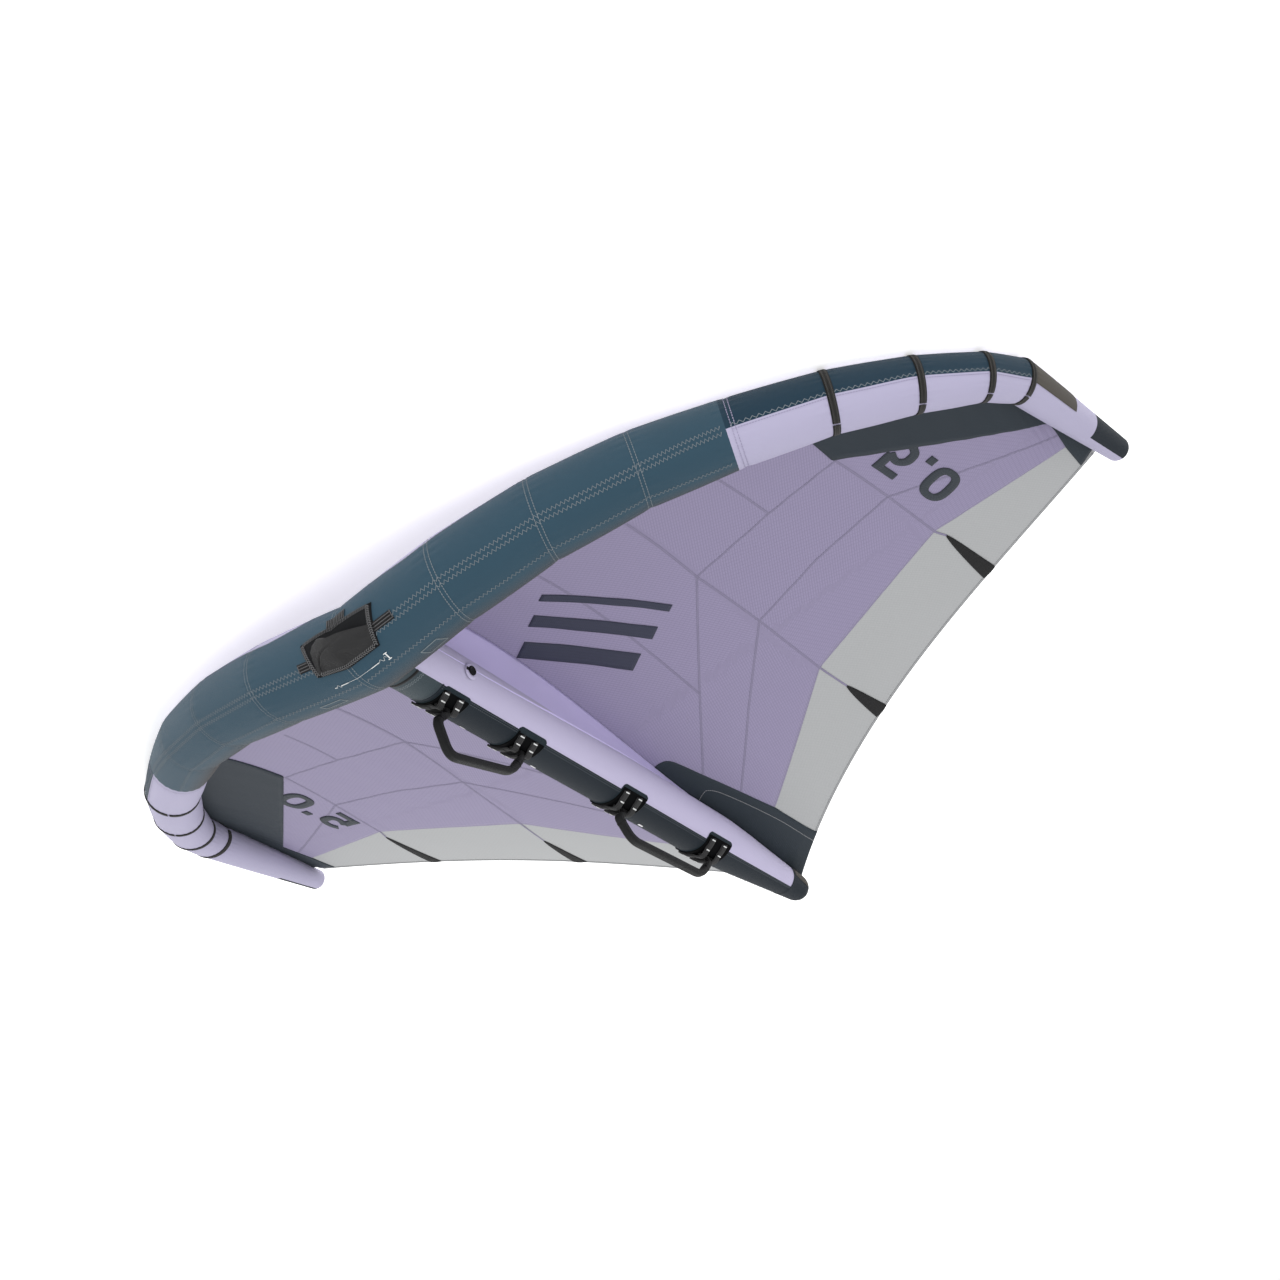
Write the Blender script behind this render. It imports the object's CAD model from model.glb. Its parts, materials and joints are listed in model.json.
"""Looks of a wingfoil wing that lies on its back: cloth, webbing, stitching, floor, light and camera.

Metres. Surfaces are written in the wing's own frame (X along the span, Y back along the strut, Z towards
the handles), and laid() tips them to the way the wing rests.
"""

import bpy
import json
import numpy as np
from math import atan2, cos, pi, radians, sin
from mathutils import Matrix, Vector


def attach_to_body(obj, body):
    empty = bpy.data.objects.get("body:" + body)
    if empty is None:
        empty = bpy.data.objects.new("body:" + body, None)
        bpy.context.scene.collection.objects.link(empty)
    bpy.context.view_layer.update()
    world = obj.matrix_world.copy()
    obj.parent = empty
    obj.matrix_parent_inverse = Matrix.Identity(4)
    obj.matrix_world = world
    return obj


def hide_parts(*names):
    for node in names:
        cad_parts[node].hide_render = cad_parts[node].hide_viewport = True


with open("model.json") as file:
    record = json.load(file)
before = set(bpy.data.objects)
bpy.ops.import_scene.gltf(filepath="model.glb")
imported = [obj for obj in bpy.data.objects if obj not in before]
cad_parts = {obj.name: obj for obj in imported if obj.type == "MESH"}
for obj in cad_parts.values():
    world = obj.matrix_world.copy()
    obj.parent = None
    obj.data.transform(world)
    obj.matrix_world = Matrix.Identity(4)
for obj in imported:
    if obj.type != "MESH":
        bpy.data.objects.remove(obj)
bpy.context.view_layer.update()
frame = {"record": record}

# Leading edge
HALF_SPAN = 1.608
TIP_SWEEP = 1.487
TIP_DROOP = 0.547
EDGE_RADIUS = 0.1168
TIP_RADIUS = 0.034
SEAM_SPAN_SHARES = (0, 0.180, 0.338, 0.487, 0.623, 0.746, 0.851, 0.929, 0.961, 1)
SEAM_SWEEP_SHARES = (0, 0.001, 0.037, 0.102, 0.198, 0.299, 0.419, 0.537, 0.625, 1)
SEAM_DROOP_SHARES = (0, 0.086, 0.207, 0.331, 0.463, 0.581, 0.700, 0.808, 0.876, 1)
SEAM_RADIUS_SHARES = (1, 0.972, 0.907, 0.840, 0.758, 0.699, 0.635, 0.559, 0.523)
ATTACH_ANGLE_ROOT = radians(15)
ATTACH_ANGLE_TIP = radians(60)
LAST_SEAM = 8
TIP_CAP_SEAM = 8.86
TIP_DOME_LENGTH = 0.016

# Strut
STRUT_LENGTH = 2.10
STRUT_RISE = 0.040
STRUT_RADIUS = 0.084
STRUT_STATION_SHARES = (0.03, 0.333, 0.748, 0.800, 0.971)
STRUT_RADIUS_SHARES = (1, 0.988, 0.935, 0.863, 0.524)
LOWER_PANEL_ANGLE = radians(35)
LEFT_PANEL_ANGLE = radians(50)
COLLAR_END = 0.235
TAIL_CAP_LENGTH = 0.135
TAIL_DOME_LENGTH = 0.060

# Canopy
CANOPY_CAMBER = 0.150
CAMBER_PEAK_SCALE = 6.75
CANOPY_LAST_SEAM = 8.9
TRAILING_SPAN_SHARES = (0, 0.374, 0.690, 0.966)
TRAILING_LENGTH_SHARES = (1.000, 0.814, 0.747, 0.696)
TRAILING_DROOP_SHARES = (0.066, 0.453, 0.781, 1.021)
CENTRE_PULL_WIDTH = 0.50
SADDLE_GAP = 0.0035
WEB_HEIGHT = 0.085
WEB_END = 1.62

# Handles
PAD_STARTS = (0.243, 0.540, 1.005, 1.442)
PAD_LENGTHS = (0.104, 0.118, 0.120, 0.124)
PAD_ANGLES = (radians(38), radians(43), radians(50), radians(56))
PAD_WALL = 0.0040
FOOT_BAR_RADIUS = 0.0050
GAP = 0.0003

REST_PITCH = radians(17.8)

SIDES = ((1, "left"), (-1, "right"))
SQUARE_SIGNS = ((-1, -1), (1, -1), (1, 1), (-1, 1))
SEW_LIFT = 0.0004
NORMAL_STEP = 0.01
CHORD_STEPS = 12


def unit(vectors):
    """The same vectors at length one."""
    vectors = np.asarray(vectors, float)
    return vectors / np.linalg.norm(vectors, axis=-1, keepdims=True)


def stacked(*parts):
    """Points or pairs from arrays of their parts."""
    return np.stack(parts, axis=-1)


def spread(rows, columns):
    """Both parameters over a grid."""
    return np.meshgrid(rows, columns, indexing="ij")


def turns(count):
    """Angles all the way round."""
    return np.linspace(0, 2 * pi, count, endpoint=False)


def flipped(flat, side):
    """Flat places on the left side, or the same on the right."""
    return flat * np.array([side, 1])


def seam_table():
    """Centres, radii and cross directions of the leading edge's tube at its seams, middle first."""
    span = [share * HALF_SPAN for share in SEAM_SPAN_SHARES]
    sweep = [share * TIP_SWEEP for share in SEAM_SWEEP_SHARES]
    droop = [-share * TIP_DROOP for share in SEAM_DROOP_SHARES]
    centres = np.array([span, sweep, droop]).T
    radii = np.array([share * EDGE_RADIUS for share in SEAM_RADIUS_SHARES] + [TIP_RADIUS])
    runs = unit(np.diff(centres, axis=0))
    along = np.vstack([[(1, 0, 0)], unit(runs[:-1] + runs[1:]), runs[-1:]])
    down = np.array((0, 0, -1))
    top = unit(down - (along @ down)[:, None] * along)
    lengths = np.r_[0, np.cumsum(np.linalg.norm(np.diff(centres, axis=0), axis=1))]
    return centres, radii, along, top, np.cross(along, top), lengths


CENTRES, RADII, ALONG, TOP, BACK, LENGTHS = seam_table()
SEAMS = np.arange(len(RADII))
SEAM_SHIFTS = np.array((0, 0, 0, 0.005, 0.010, 0.010, 0.010, 0.010, 0.0065, 0))
SEAM_LEANS = np.array((0, 0.012, 0.0165, 0.0145, 0.029, 0.029, 0.029, 0.029, 0.019, 0))
LEAN_ANGLES = np.radians((-220, -220, -200, -165, -130, -130, -130, -130, -130, -130))


def seam_lean(seam, angle):
    """How far a seam lies nearer to the middle at this angle."""
    return SEAM_SHIFTS[seam] + SEAM_LEANS[seam] * np.cos(angle - LEAN_ANGLES[seam])


def tube(place, angle, offset=0.0):
    """The leading edge's wall: (1 - f) ring(n) + f ring(n + 1), where f is the part of the way to the next.

    ring(n) = C + (R + offset)(cos a top + sin a back) - lean along: its front lies nearer to the middle.
    """
    place, angle, offset = np.broadcast_arrays(*[np.asarray(v, float) for v in (place, angle, offset)])
    near = np.minimum(np.abs(place).astype(int), len(RADII) - 2)
    part = (np.abs(place) - near)[..., None]
    rings = []
    for seam in (near, near + 1):
        turn = np.cos(angle)[..., None] * TOP[seam] + np.sin(angle)[..., None] * BACK[seam]
        lean = seam_lean(seam, angle)[..., None] * ALONG[seam]
        rings.append(CENTRES[seam] + (RADII[seam] + offset)[..., None] * turn - lean)
    points = (1 - part) * rings[0] + part * rings[1]
    points[..., 0] *= np.where(place < 0, -1, 1)
    return points


def edge_radius(place):
    """Radius of the tube."""
    return np.interp(np.abs(place), SEAMS, RADII)


def attach(place):
    """Angle at which the canopy is sewn to the tube."""
    return ATTACH_ANGLE_ROOT + (ATTACH_ANGLE_TIP - ATTACH_ANGLE_ROOT) * (np.abs(place) / len(RADII)) ** 2


def along_edge(place):
    """Distance along the leading edge from its middle."""
    return np.sign(place) * np.interp(np.abs(place), SEAMS, LENGTHS)


def edge_place(distance):
    """Place on the leading edge at a distance along it."""
    return np.sign(distance) * np.interp(np.abs(distance), LENGTHS, SEAMS)


def strut_axis(along):
    """Height of the strut's axis."""
    return -STRUT_RISE * (1 - along / STRUT_LENGTH)


def strut_radius(along):
    """Radius of the strut."""
    stations = [share * STRUT_LENGTH for share in STRUT_STATION_SHARES]
    return np.interp(along, stations, [share * STRUT_RADIUS for share in STRUT_RADIUS_SHARES])


def strut(along, angle, offset=0.0):
    """The strut's wall: (r sin a, y, axis + r cos a), with a = 0 towards the handles."""
    along, angle, offset = np.broadcast_arrays(*[np.asarray(v, float) for v in (along, angle, offset)])
    reach = strut_radius(along) + offset
    return stacked(reach * np.sin(angle), along, strut_axis(along) + reach * np.cos(angle))


def knotted(x, shares, values):
    """The polynomial through all knots."""
    knots = [share * HALF_SPAN for share in shares]
    return np.polyval(np.polyfit(knots, values, len(knots) - 1), x)


def trailing_edge(span):
    """The canopy's back edge."""
    back = knotted(span, TRAILING_SPAN_SHARES, [share * STRUT_LENGTH for share in TRAILING_LENGTH_SHARES])
    down = knotted(span, TRAILING_SPAN_SHARES, [share * TIP_DROOP for share in TRAILING_DROOP_SHARES])
    return stacked(span, back, -down)


def humped(share):
    """A hump of height one that peaks at a third: 6.75 s (1 - s)^2."""
    share = np.clip(share, 0, 1)
    return CAMBER_PEAK_SCALE * share * (1 - share) ** 2


def canopy_edge(place):
    """Where the canopy is sewn to the leading edge."""
    return tube(place, attach(place), SEW_LIFT)


WIDEST = canopy_edge(CANOPY_LAST_SEAM)[0]
SPAN_STRETCH = TRAILING_SPAN_SHARES[-1] * HALF_SPAN / WIDEST


def centre_height(along):
    """Height of the canopy over the strut."""
    start = canopy_edge(0.0)[1]
    web = WEB_HEIGHT * humped((along - start) / (WEB_END - start))
    return strut_axis(along) - strut_radius(along) - SADDLE_GAP - web


def canopy(place, chord):
    """The canopy's +X side: a straight chord from tube to back edge, cambered, and pulled to the webs."""
    place, chord = np.broadcast_arrays(np.asarray(place, float), np.asarray(chord, float))
    front = canopy_edge(place)
    back = trailing_edge(front[..., 0] * SPAN_STRETCH)
    points = (1 - chord)[..., None] * front + chord[..., None] * back
    points[..., 2] -= CANOPY_CAMBER * (1 - front[..., 0] / HALF_SPAN) * humped(chord)
    first, last = canopy_edge(0.0), trailing_edge(0.0)
    middle = (1 - chord)[..., None] * first + chord[..., None] * last
    pull = np.clip(1 - points[..., 0] / CENTRE_PULL_WIDTH, 0, 1) ** 2 * (chord > 0)
    free = middle[..., 2] - CANOPY_CAMBER * humped(chord)
    points[..., 2] += pull * (centre_height(middle[..., 1]) - free)
    return points


EDGE_PLACES = np.linspace(0, CANOPY_LAST_SEAM, 600)
EDGE_POINTS = canopy_edge(EDGE_PLACES)


def on_canopy(across, along, lift=0.0):
    """The canopy over a place of the plan, lifted along its normal. A negative across is the right side.

    The chord share and the root follow each other in a few rounds, as the back edge is a little narrower.
    """
    across, along = np.broadcast_arrays(np.asarray(across, float), np.asarray(along, float))
    width = np.abs(across)
    chord = np.full(width.shape, 0.5)
    for _ in range(CHORD_STEPS):
        root = width / ((1 - chord) + chord * SPAN_STRETCH)
        front = np.interp(root, EDGE_POINTS[:, 0], EDGE_POINTS[:, 1])
        back = trailing_edge(root * SPAN_STRETCH)[..., 1]
        chord = np.clip((along - front) / (back - front), 0, 1)
    place = np.interp(root, EDGE_POINTS[:, 0], EDGE_PLACES)
    points = sail(place, chord)
    if np.any(lift):
        further = np.minimum(chord + NORMAL_STEP, 1)
        back_run = canopy(place, further) - canopy(place, further - NORMAL_STEP)
        outer, inner = np.minimum(place + NORMAL_STEP, CANOPY_LAST_SEAM), np.maximum(place - NORMAL_STEP, 0)
        side_run = canopy(outer, chord) - canopy(inner, chord)
        points = points + np.asarray(lift)[..., None] * unit(np.cross(side_run, back_run))
    points[..., 0] *= np.where(across < 0, -1, 1)
    return points


def laid(points):
    """Points of the wing's own frame in the frame of the record."""
    return np.asarray(points, float) @ TIP.T + SHIFT


TIP = np.array(Matrix.Rotation(REST_PITCH, 3, "X"))
FRONT_JOINT = next(j for j in frame["record"]["behaviour"]["joints"] if j["name"] == "front_handle_swing")
FRONT_FOOT = strut(PAD_STARTS[0] + PAD_LENGTHS[0] / 2, 0.0, PAD_WALL + 2 * GAP + FOOT_BAR_RADIUS)
SHIFT = np.array(FRONT_JOINT["pos_m"]) - TIP @ FRONT_FOOT


class Graph:
    """A material's nodes, added by short calls."""

    def __init__(self, name):
        self.material = bpy.data.materials.new(name)
        self.material.use_nodes = True
        self.tree = self.material.node_tree
        self.shader = self.tree.nodes["Principled BSDF"]

    def feed(self, socket, value):
        """Give a socket a value, or link it to another node's output."""
        if hasattr(value, "is_output"):
            self.tree.links.new(value, socket)
        else:
            socket.default_value = value

    def node(self, kind, inputs=None, **settings):
        """A new node with its settings and inputs."""
        made = self.tree.nodes.new("ShaderNode" + kind)
        for key, value in settings.items():
            setattr(made, key, value)
        for key, value in (inputs or {}).items():
            self.feed(made.inputs[key], value)
        return made

    def math(self, operation, first, second=0.0, clamp=False):
        """The result of one sum."""
        return self.node("Math", {0: first, 1: second}, operation=operation, use_clamp=clamp).outputs[0]

    def mix(self, factor, first, second):
        """Two colours mixed."""
        return self.node("Mix", {0: factor, 6: first, 7: second}, data_type="RGBA").outputs[2]

    def set(self, **values):
        """Inputs of the shader, with underscores for the blanks in their names."""
        for key, value in values.items():
            self.feed(self.shader.inputs[key.replace("_", " ")], value)

    def bump(self, height, strength, distance):
        """Fine relief of the surface."""
        made = self.node("Bump", {"Height": height, "Strength": strength, "Distance": distance})
        self.tree.links.new(made.outputs[0], self.shader.inputs["Normal"])


def shade(colour, factor):
    """A colour, lighter or darker."""
    return tuple(min(1.0, c * factor) for c in colour) + (1.0,)


# Materials
FINE_WEAVE = 0.0016
CLOTH_CONTRAST = 0.20
CLOTH_TONE_SCALE = 5.0
CLOTH_GRAIN_SCALE = 700.0
RIP_CONTRAST = 0.22
RIP_TONE = 0.12
RIP_GRAIN = 0.14
RIP_TONE_SCALE = 3.0
RIP_GRAIN_SCALE = 500.0
RIP_LINE_SHARE = 0.16
RIP_CROSS_PITCH = 1.7
RIP_CROSS_STRENGTH = 0.7
RIP_DARKER = 0.72
RIP_GRAIN_HEIGHT = 0.4
RIP_ROUGHNESS = 0.55
RIP_BUMP = 0.35
TONE_DETAIL = 3.0
CLOTH_BUMP = 0.5
WEBBING_DARK = 0.55
WEBBING_LIGHT = 1.7
TWILL_SHARE = 0.8
TWILL_HEIGHT = 0.5
WEBBING_GRAIN_SCALE = 900.0
WEBBING_SHADE = 0.22
WEBBING_ROUGHNESS = 0.8
WEBBING_SHINE = 0.12
WEBBING_BUMP = 0.6
SKIN_DARK = 0.75
SKIN_LIGHT = 1.35
SKIN_BUMP = 0.4
RUBBED_CHANGE = 0.2
RUBBED_SCALE = 22.0
SOFT_SHEEN = 0.03
CLOTH_DEPTH = 0.0004
WEBBING_DEPTH = 0.0006
SKIN_DEPTH = 0.0003


def noise(graph, vector, scale, detail=2.0):
    """A soft random pattern."""
    return graph.node("TexNoise", {"Vector": vector, "Scale": scale, "Detail": detail}).outputs[0]


def wave(graph, value, pitch):
    """A sine of the given pitch."""
    return graph.math("SINE", graph.math("MULTIPLY", value, 2 * pi / pitch))


def weave_of(graph, uv, pitch):
    """Heights of a weave: the product of a sine along each direction of the cloth."""
    parts = graph.node("SeparateXYZ", {0: uv})
    first, second = (wave(graph, parts.outputs[axis], pitch) for axis in (0, 1))
    return graph.math("MULTIPLY", first, second)


def cloth(
    name, colour, pitch, rough=0.6, line=0.10, depth=CLOTH_DEPTH, sheen=0.04, variation=0.10,
    shaded=None, shine=0.35,
):
    """Woven cloth: fine threads, a soft change of tone over the piece, and a slight nap."""
    graph = Graph(name)
    uv = graph.node("UVMap", uv_map="cloth").outputs[0]
    weave = weave_of(graph, uv, pitch)
    tone = noise(graph, uv, CLOTH_TONE_SCALE, TONE_DETAIL)
    grain = noise(graph, uv, CLOTH_GRAIN_SCALE)
    light = graph.math("ADD", graph.math("MULTIPLY", tone, variation), graph.math("MULTIPLY", grain, line))
    light = graph.math("ADD", light, graph.math("MULTIPLY", weave, line / 2))
    light = graph.math("ADD", light, 0.5 - (variation + line) / 2)
    base = graph.mix(light, shade(colour, 1 - CLOTH_CONTRAST), shade(colour, 1 + CLOTH_CONTRAST))
    if shaded:
        turned = graph.node("SeparateXYZ", {0: uv}).outputs[1]
        past = graph.math("DIVIDE", graph.math("SUBTRACT", SHADE_START, turned), SHADE_REACH, clamp=True)
        base = graph.mix(past, base, shaded)
    graph.set(Base_Color=base, Roughness=rough, Specular_IOR_Level=shine)
    graph.set(Sheen_Weight=sheen, Sheen_Roughness=0.5)
    graph.bump(graph.math("ADD", weave, grain), CLOTH_BUMP, depth)
    return graph.material


def ripstop(name, colour, pitch, line=0.5, shine=0.10):
    """Thin cloth with a raised grid of thicker threads in squares, and a fine weave between."""
    graph = Graph(name)
    uv = graph.node("UVMap", uv_map="cloth").outputs[0]
    parts = graph.node("SeparateXYZ", {0: uv})
    lines = []
    for axis, share in ((0, 1.0), (1, RIP_CROSS_PITCH)):
        saw = graph.math("PINGPONG", parts.outputs[axis], pitch * share / 2)
        lines.append(graph.math("LESS_THAN", saw, pitch * RIP_LINE_SHARE))
    grid = graph.math("MAXIMUM", lines[0], graph.math("MULTIPLY", lines[1], RIP_CROSS_STRENGTH))
    tone = noise(graph, uv, RIP_TONE_SCALE, TONE_DETAIL)
    grain = noise(graph, uv, RIP_GRAIN_SCALE)
    tone, fine = graph.math("MULTIPLY", tone, RIP_TONE), graph.math("MULTIPLY", grain, RIP_GRAIN)
    light = graph.math("ADD", tone, fine)
    light = graph.math("ADD", light, 0.5 - (RIP_TONE + RIP_GRAIN) / 2)
    base = graph.mix(light, shade(colour, 1 - RIP_CONTRAST), shade(colour, 1 + RIP_CONTRAST))
    base = graph.mix(graph.math("MULTIPLY", grid, line), base, shade(colour, RIP_DARKER))
    graph.set(Base_Color=base, Roughness=RIP_ROUGHNESS, Sheen_Weight=SOFT_SHEEN, Specular_IOR_Level=shine)
    height = graph.math("ADD", grid, graph.math("MULTIPLY", grain, RIP_GRAIN_HEIGHT))
    graph.bump(height, RIP_BUMP, CLOTH_DEPTH)
    return graph.material


def webbing(name, colour, rib_pitch):
    """Webbing: ribs along its length with slanted threads between them."""
    graph = Graph(name)
    uv = graph.node("UVMap", uv_map="cloth").outputs[0]
    parts = graph.node("SeparateXYZ", {0: uv})
    rib = wave(graph, parts.outputs[1], rib_pitch)
    slant = graph.math("ADD", parts.outputs[0], graph.math("PINGPONG", parts.outputs[1], rib_pitch / 2))
    twill = wave(graph, slant, rib_pitch * TWILL_SHARE)
    height = graph.math("ADD", rib, graph.math("MULTIPLY", twill, TWILL_HEIGHT))
    grain = noise(graph, uv, WEBBING_GRAIN_SCALE)
    factor = graph.math("ADD", graph.math("MULTIPLY", height, WEBBING_SHADE), grain, clamp=True)
    base = graph.mix(factor, shade(colour, WEBBING_DARK), shade(colour, WEBBING_LIGHT))
    graph.set(Base_Color=base, Roughness=WEBBING_ROUGHNESS)
    graph.set(Sheen_Weight=SOFT_SHEEN, Specular_IOR_Level=WEBBING_SHINE)
    graph.bump(height, WEBBING_BUMP, WEBBING_DEPTH)
    return graph.material


def moulded(name, colour, rough, grain_scale=1800.0, coat=0.0, shine=0.25):
    """Moulded plastic or rubber with a fine eroded skin, a little smoother where hands rub it."""
    graph = Graph(name)
    place = graph.node("TexCoord").outputs["Object"]
    grain = noise(graph, place, grain_scale, TONE_DETAIL)
    rubbed = noise(graph, place, RUBBED_SCALE)
    rougher = graph.math("MULTIPLY", rubbed, RUBBED_CHANGE)
    roughness = graph.math("ADD", rougher, rough - RUBBED_CHANGE / 2)
    base = graph.mix(rubbed, shade(colour, SKIN_DARK), shade(colour, SKIN_LIGHT))
    graph.set(Base_Color=base, Roughness=roughness, Coat_Weight=coat, Specular_IOR_Level=shine)
    graph.bump(grain, SKIN_BUMP, SKIN_DEPTH)
    return graph.material


def plain(name, colour, rough=0.7, tone=0.12, scale=60.0):
    """Thread, tape or print with a little unevenness."""
    graph = Graph(name)
    place = graph.node("TexCoord").outputs["Object"]
    base = graph.mix(noise(graph, place, scale), shade(colour, 1 - tone), shade(colour, 1 + tone))
    graph.set(Base_Color=base, Roughness=rough)
    return graph.material


# Brown shade low on the teal front: its start and reach are distances round the tube
EDGE_SHADE = (0.026, 0.023, 0.023, 1.0)
SHADE_START = 0.310
SHADE_REACH = 0.075

SHADED_TEAL = {"line": 0.16, "variation": 0.25, "shaded": EDGE_SHADE, "sheen": 0.05, "shine": 0.25}
DEEP_TEAL = {"line": 0.16, "variation": 0.25, "sheen": 0.03, "shine": 0.15}
DULL = {"sheen": 0.02, "shine": 0.12}
SOFT = {"line": 0.2, "sheen": 0.02, "shine": 0.15}
FOAM = {"line": 0.35, "depth": 0.0006, "shine": 0.18}

MATERIALS = {
    "teal": cloth("teal_sailcloth", (0.0165, 0.050, 0.078), FINE_WEAVE, 0.62, **SHADED_TEAL),
    "outer_teal": cloth("outer_teal_sailcloth", (0.0080, 0.028, 0.048), FINE_WEAVE, 0.62, **DEEP_TEAL),
    "lavender": cloth("lavender_sailcloth", (0.372, 0.350, 0.488), FINE_WEAVE, variation=0.12),
    "strut_lavender": cloth("strut_sailcloth", (0.445, 0.412, 0.575), FINE_WEAVE, variation=0.12),
    "web": cloth("web_sailcloth", (0.560, 0.500, 0.790), FINE_WEAVE, variation=0.12),
    "collar": cloth("collar_sailcloth", (0.026, 0.042, 0.052), FINE_WEAVE, 0.65, line=0.16, variation=0.2),
    "dark": cloth("dark_sailcloth", (0.0130, 0.0180, 0.0245), 0.0022, 0.7, line=0.3, variation=0.2, **DULL),
    "scuff": cloth("scuff_cloth", (0.066, 0.060, 0.053), 0.0060, 0.85, line=0.9, variation=0.4, shine=0.1),
    "seam": cloth("seam_fold", (0.200, 0.178, 0.275), 0.0030, line=0.2),
    "hem": cloth("hem_cloth", (0.33, 0.336, 0.342), 0.0030, line=0.2),
    "rim": cloth("pad_rim_cloth", (0.0110, 0.0190, 0.0250), FINE_WEAVE, line=0.2, **DULL),
    "flap": cloth("flap_cloth", (0.0200, 0.0200, 0.0208), FINE_WEAVE, 0.55, **SOFT),
    "grip": cloth("grip_foam_cloth", (0.0062, 0.0065, 0.0072), 0.0024, 0.62, **FOAM),
    "canopy": ripstop("canopy_ripstop", (0.240, 0.212, 0.330), 0.0075, 0.55, shine=0.3),
    "trailing": ripstop("trailing_ripstop", (0.345, 0.352, 0.358), 0.0065, 0.30, shine=0.3),
    "patch": ripstop("patch_ripstop", (0.025, 0.033, 0.042), 0.0060),
    "print": ripstop("printed_ripstop", (0.040, 0.047, 0.056), 0.0060),
    "bar": ripstop("bar_ripstop", (0.040, 0.043, 0.068), 0.0060),
    "strap": webbing("strap_webbing", (0.0290, 0.0290, 0.0300), 0.0045),
    "webbing": webbing("black_webbing", (0.0120, 0.0120, 0.0125), 0.0045),
    "band": webbing("band_webbing", (0.0095, 0.0093, 0.0090), 0.0035),
    "rib": webbing("ribbed_webbing", (0.110, 0.110, 0.113), 0.0022),
    "fine_rib": webbing("fine_ribbed_webbing", (0.085, 0.085, 0.088), 0.0022),
    "foam": moulded("grip_patch_foam", (0.0100, 0.0105, 0.0115), 0.8, 900.0, shine=0.05),
    "pad": moulded("pad_foam", (0.0024, 0.0026, 0.0030), 0.8, 900.0, shine=0.04),
    "moulding": moulded("black_moulding", (0.0042, 0.0042, 0.0046), 0.45, shine=0.16),
    "film": moulded("bladder_film", (0.62, 0.64, 0.65), 0.25, 400.0, coat=0.3),
    "thread": plain("pale_thread", (0.125, 0.150, 0.170)),
    "dark_thread": plain("dark_thread", (0.150, 0.135, 0.205)),
    "lavender_thread": plain("lavender_thread", (0.255, 0.235, 0.345)),
    "grey_thread": plain("grey_thread", (0.22, 0.22, 0.23)),
    "strut_thread": plain("strut_thread", (0.034, 0.044, 0.055)),
    "pale_seam": plain("brown_thread", (0.070, 0.067, 0.062)),
    "outline": plain("outline_tape", (0.145, 0.175, 0.190)),
    "tag": plain("blank_tag", (0.62, 0.62, 0.64), 0.6),
    "white": plain("white_thread", (0.62, 0.63, 0.63), 0.6),
}


def finish_piece(obj, body, nodes):
    """Say what a piece rides on, which slot it takes its finish from, and which solids it stands for."""
    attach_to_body(obj, body)
    if nodes:
        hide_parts(*nodes)
    return obj


def make_piece(name, points, faces, uvs, materials, slots, body="wing", slot=None, nodes=(), smooth=True):
    """A mesh piece from points of the wing's own frame, faces, cloth coordinates and materials."""
    mesh = bpy.data.meshes.new(name)
    mesh.from_pydata(laid(points).tolist(), [], [tuple(int(k) for k in face) for face in faces])
    layer = mesh.uv_layers.new(name="cloth")
    corners = np.empty(len(mesh.loops), int)
    mesh.loops.foreach_get("vertex_index", corners)
    layer.data.foreach_set("uv", np.asarray(uvs, float)[corners].ravel())
    for material in materials:
        mesh.materials.append(MATERIALS[material])
    if slots is not None:
        mesh.polygons.foreach_set("material_index", np.asarray(slots, np.int32))
    if smooth:
        mesh.shade_smooth()
    obj = bpy.data.objects.new(name, mesh)
    bpy.context.scene.collection.objects.link(obj)
    return finish_piece(obj, body, nodes)


def grid_faces(rows, columns, start=0, closed=False):
    """Quads over a grid of points, row by row."""
    across = columns if closed else columns - 1
    row, column = spread(np.arange(rows - 1), np.arange(across))
    after = (column + 1) % columns
    low, high = start + row * columns, start + (row + 1) * columns
    return stacked(low + column, low + after, high + after, high + column).reshape(-1, 4)


def add_wall(obj, thickness, offset):
    """Give a surface its thickness: outwards with an offset of one, both ways with nought."""
    solid = obj.modifiers.new("wall", "SOLIDIFY")
    solid.thickness = thickness
    solid.offset = offset


def grid_piece(name, points, uvs, materials, face_slots=None, closed=False, wall=0.0, **rest):
    """A piece over a grid of points (rows, columns, 3); a wall makes it a thin solid."""
    rows, columns = points.shape[:2]
    faces = grid_faces(rows, columns, closed=closed)
    slots = None if face_slots is None else np.asarray(face_slots).reshape(-1)
    obj = make_piece(name, points.reshape(-1, 3), faces, uvs.reshape(-1, 2), materials, slots, **rest)
    if wall:
        add_wall(obj, wall, 1)
    return obj


class Parts:
    """Many small ribbons and patches gathered into one piece."""

    def __init__(self):
        self.points, self.uvs, self.faces, self.slots, self.count = [], [], [], [], 0

    def add(self, points, uvs, slot=0, closed=False):
        rows, columns = points.shape[:2]
        self.faces.append(grid_faces(rows, columns, self.count, closed))
        self.points.append(points.reshape(-1, 3))
        self.uvs.append(uvs.reshape(-1, 2))
        self.slots.append(np.full(len(self.faces[-1]), slot))
        self.count += rows * columns

    def piece(self, name, materials, wall=0.0, **rest):
        gathered = (self.points, self.faces, self.uvs, self.slots)
        points, faces, uvs, slots = (np.concatenate(kind) for kind in gathered)
        obj = make_piece(name, points, faces, uvs, materials, slots, **rest)
        if wall:
            add_wall(obj, wall, 0)
        return obj


def both_sides(points):
    """The same grid mirrored, with its faces kept pointing the same way."""
    mirrored = points[:, ::-1].copy()
    mirrored[..., 0] *= -1
    return mirrored


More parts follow.
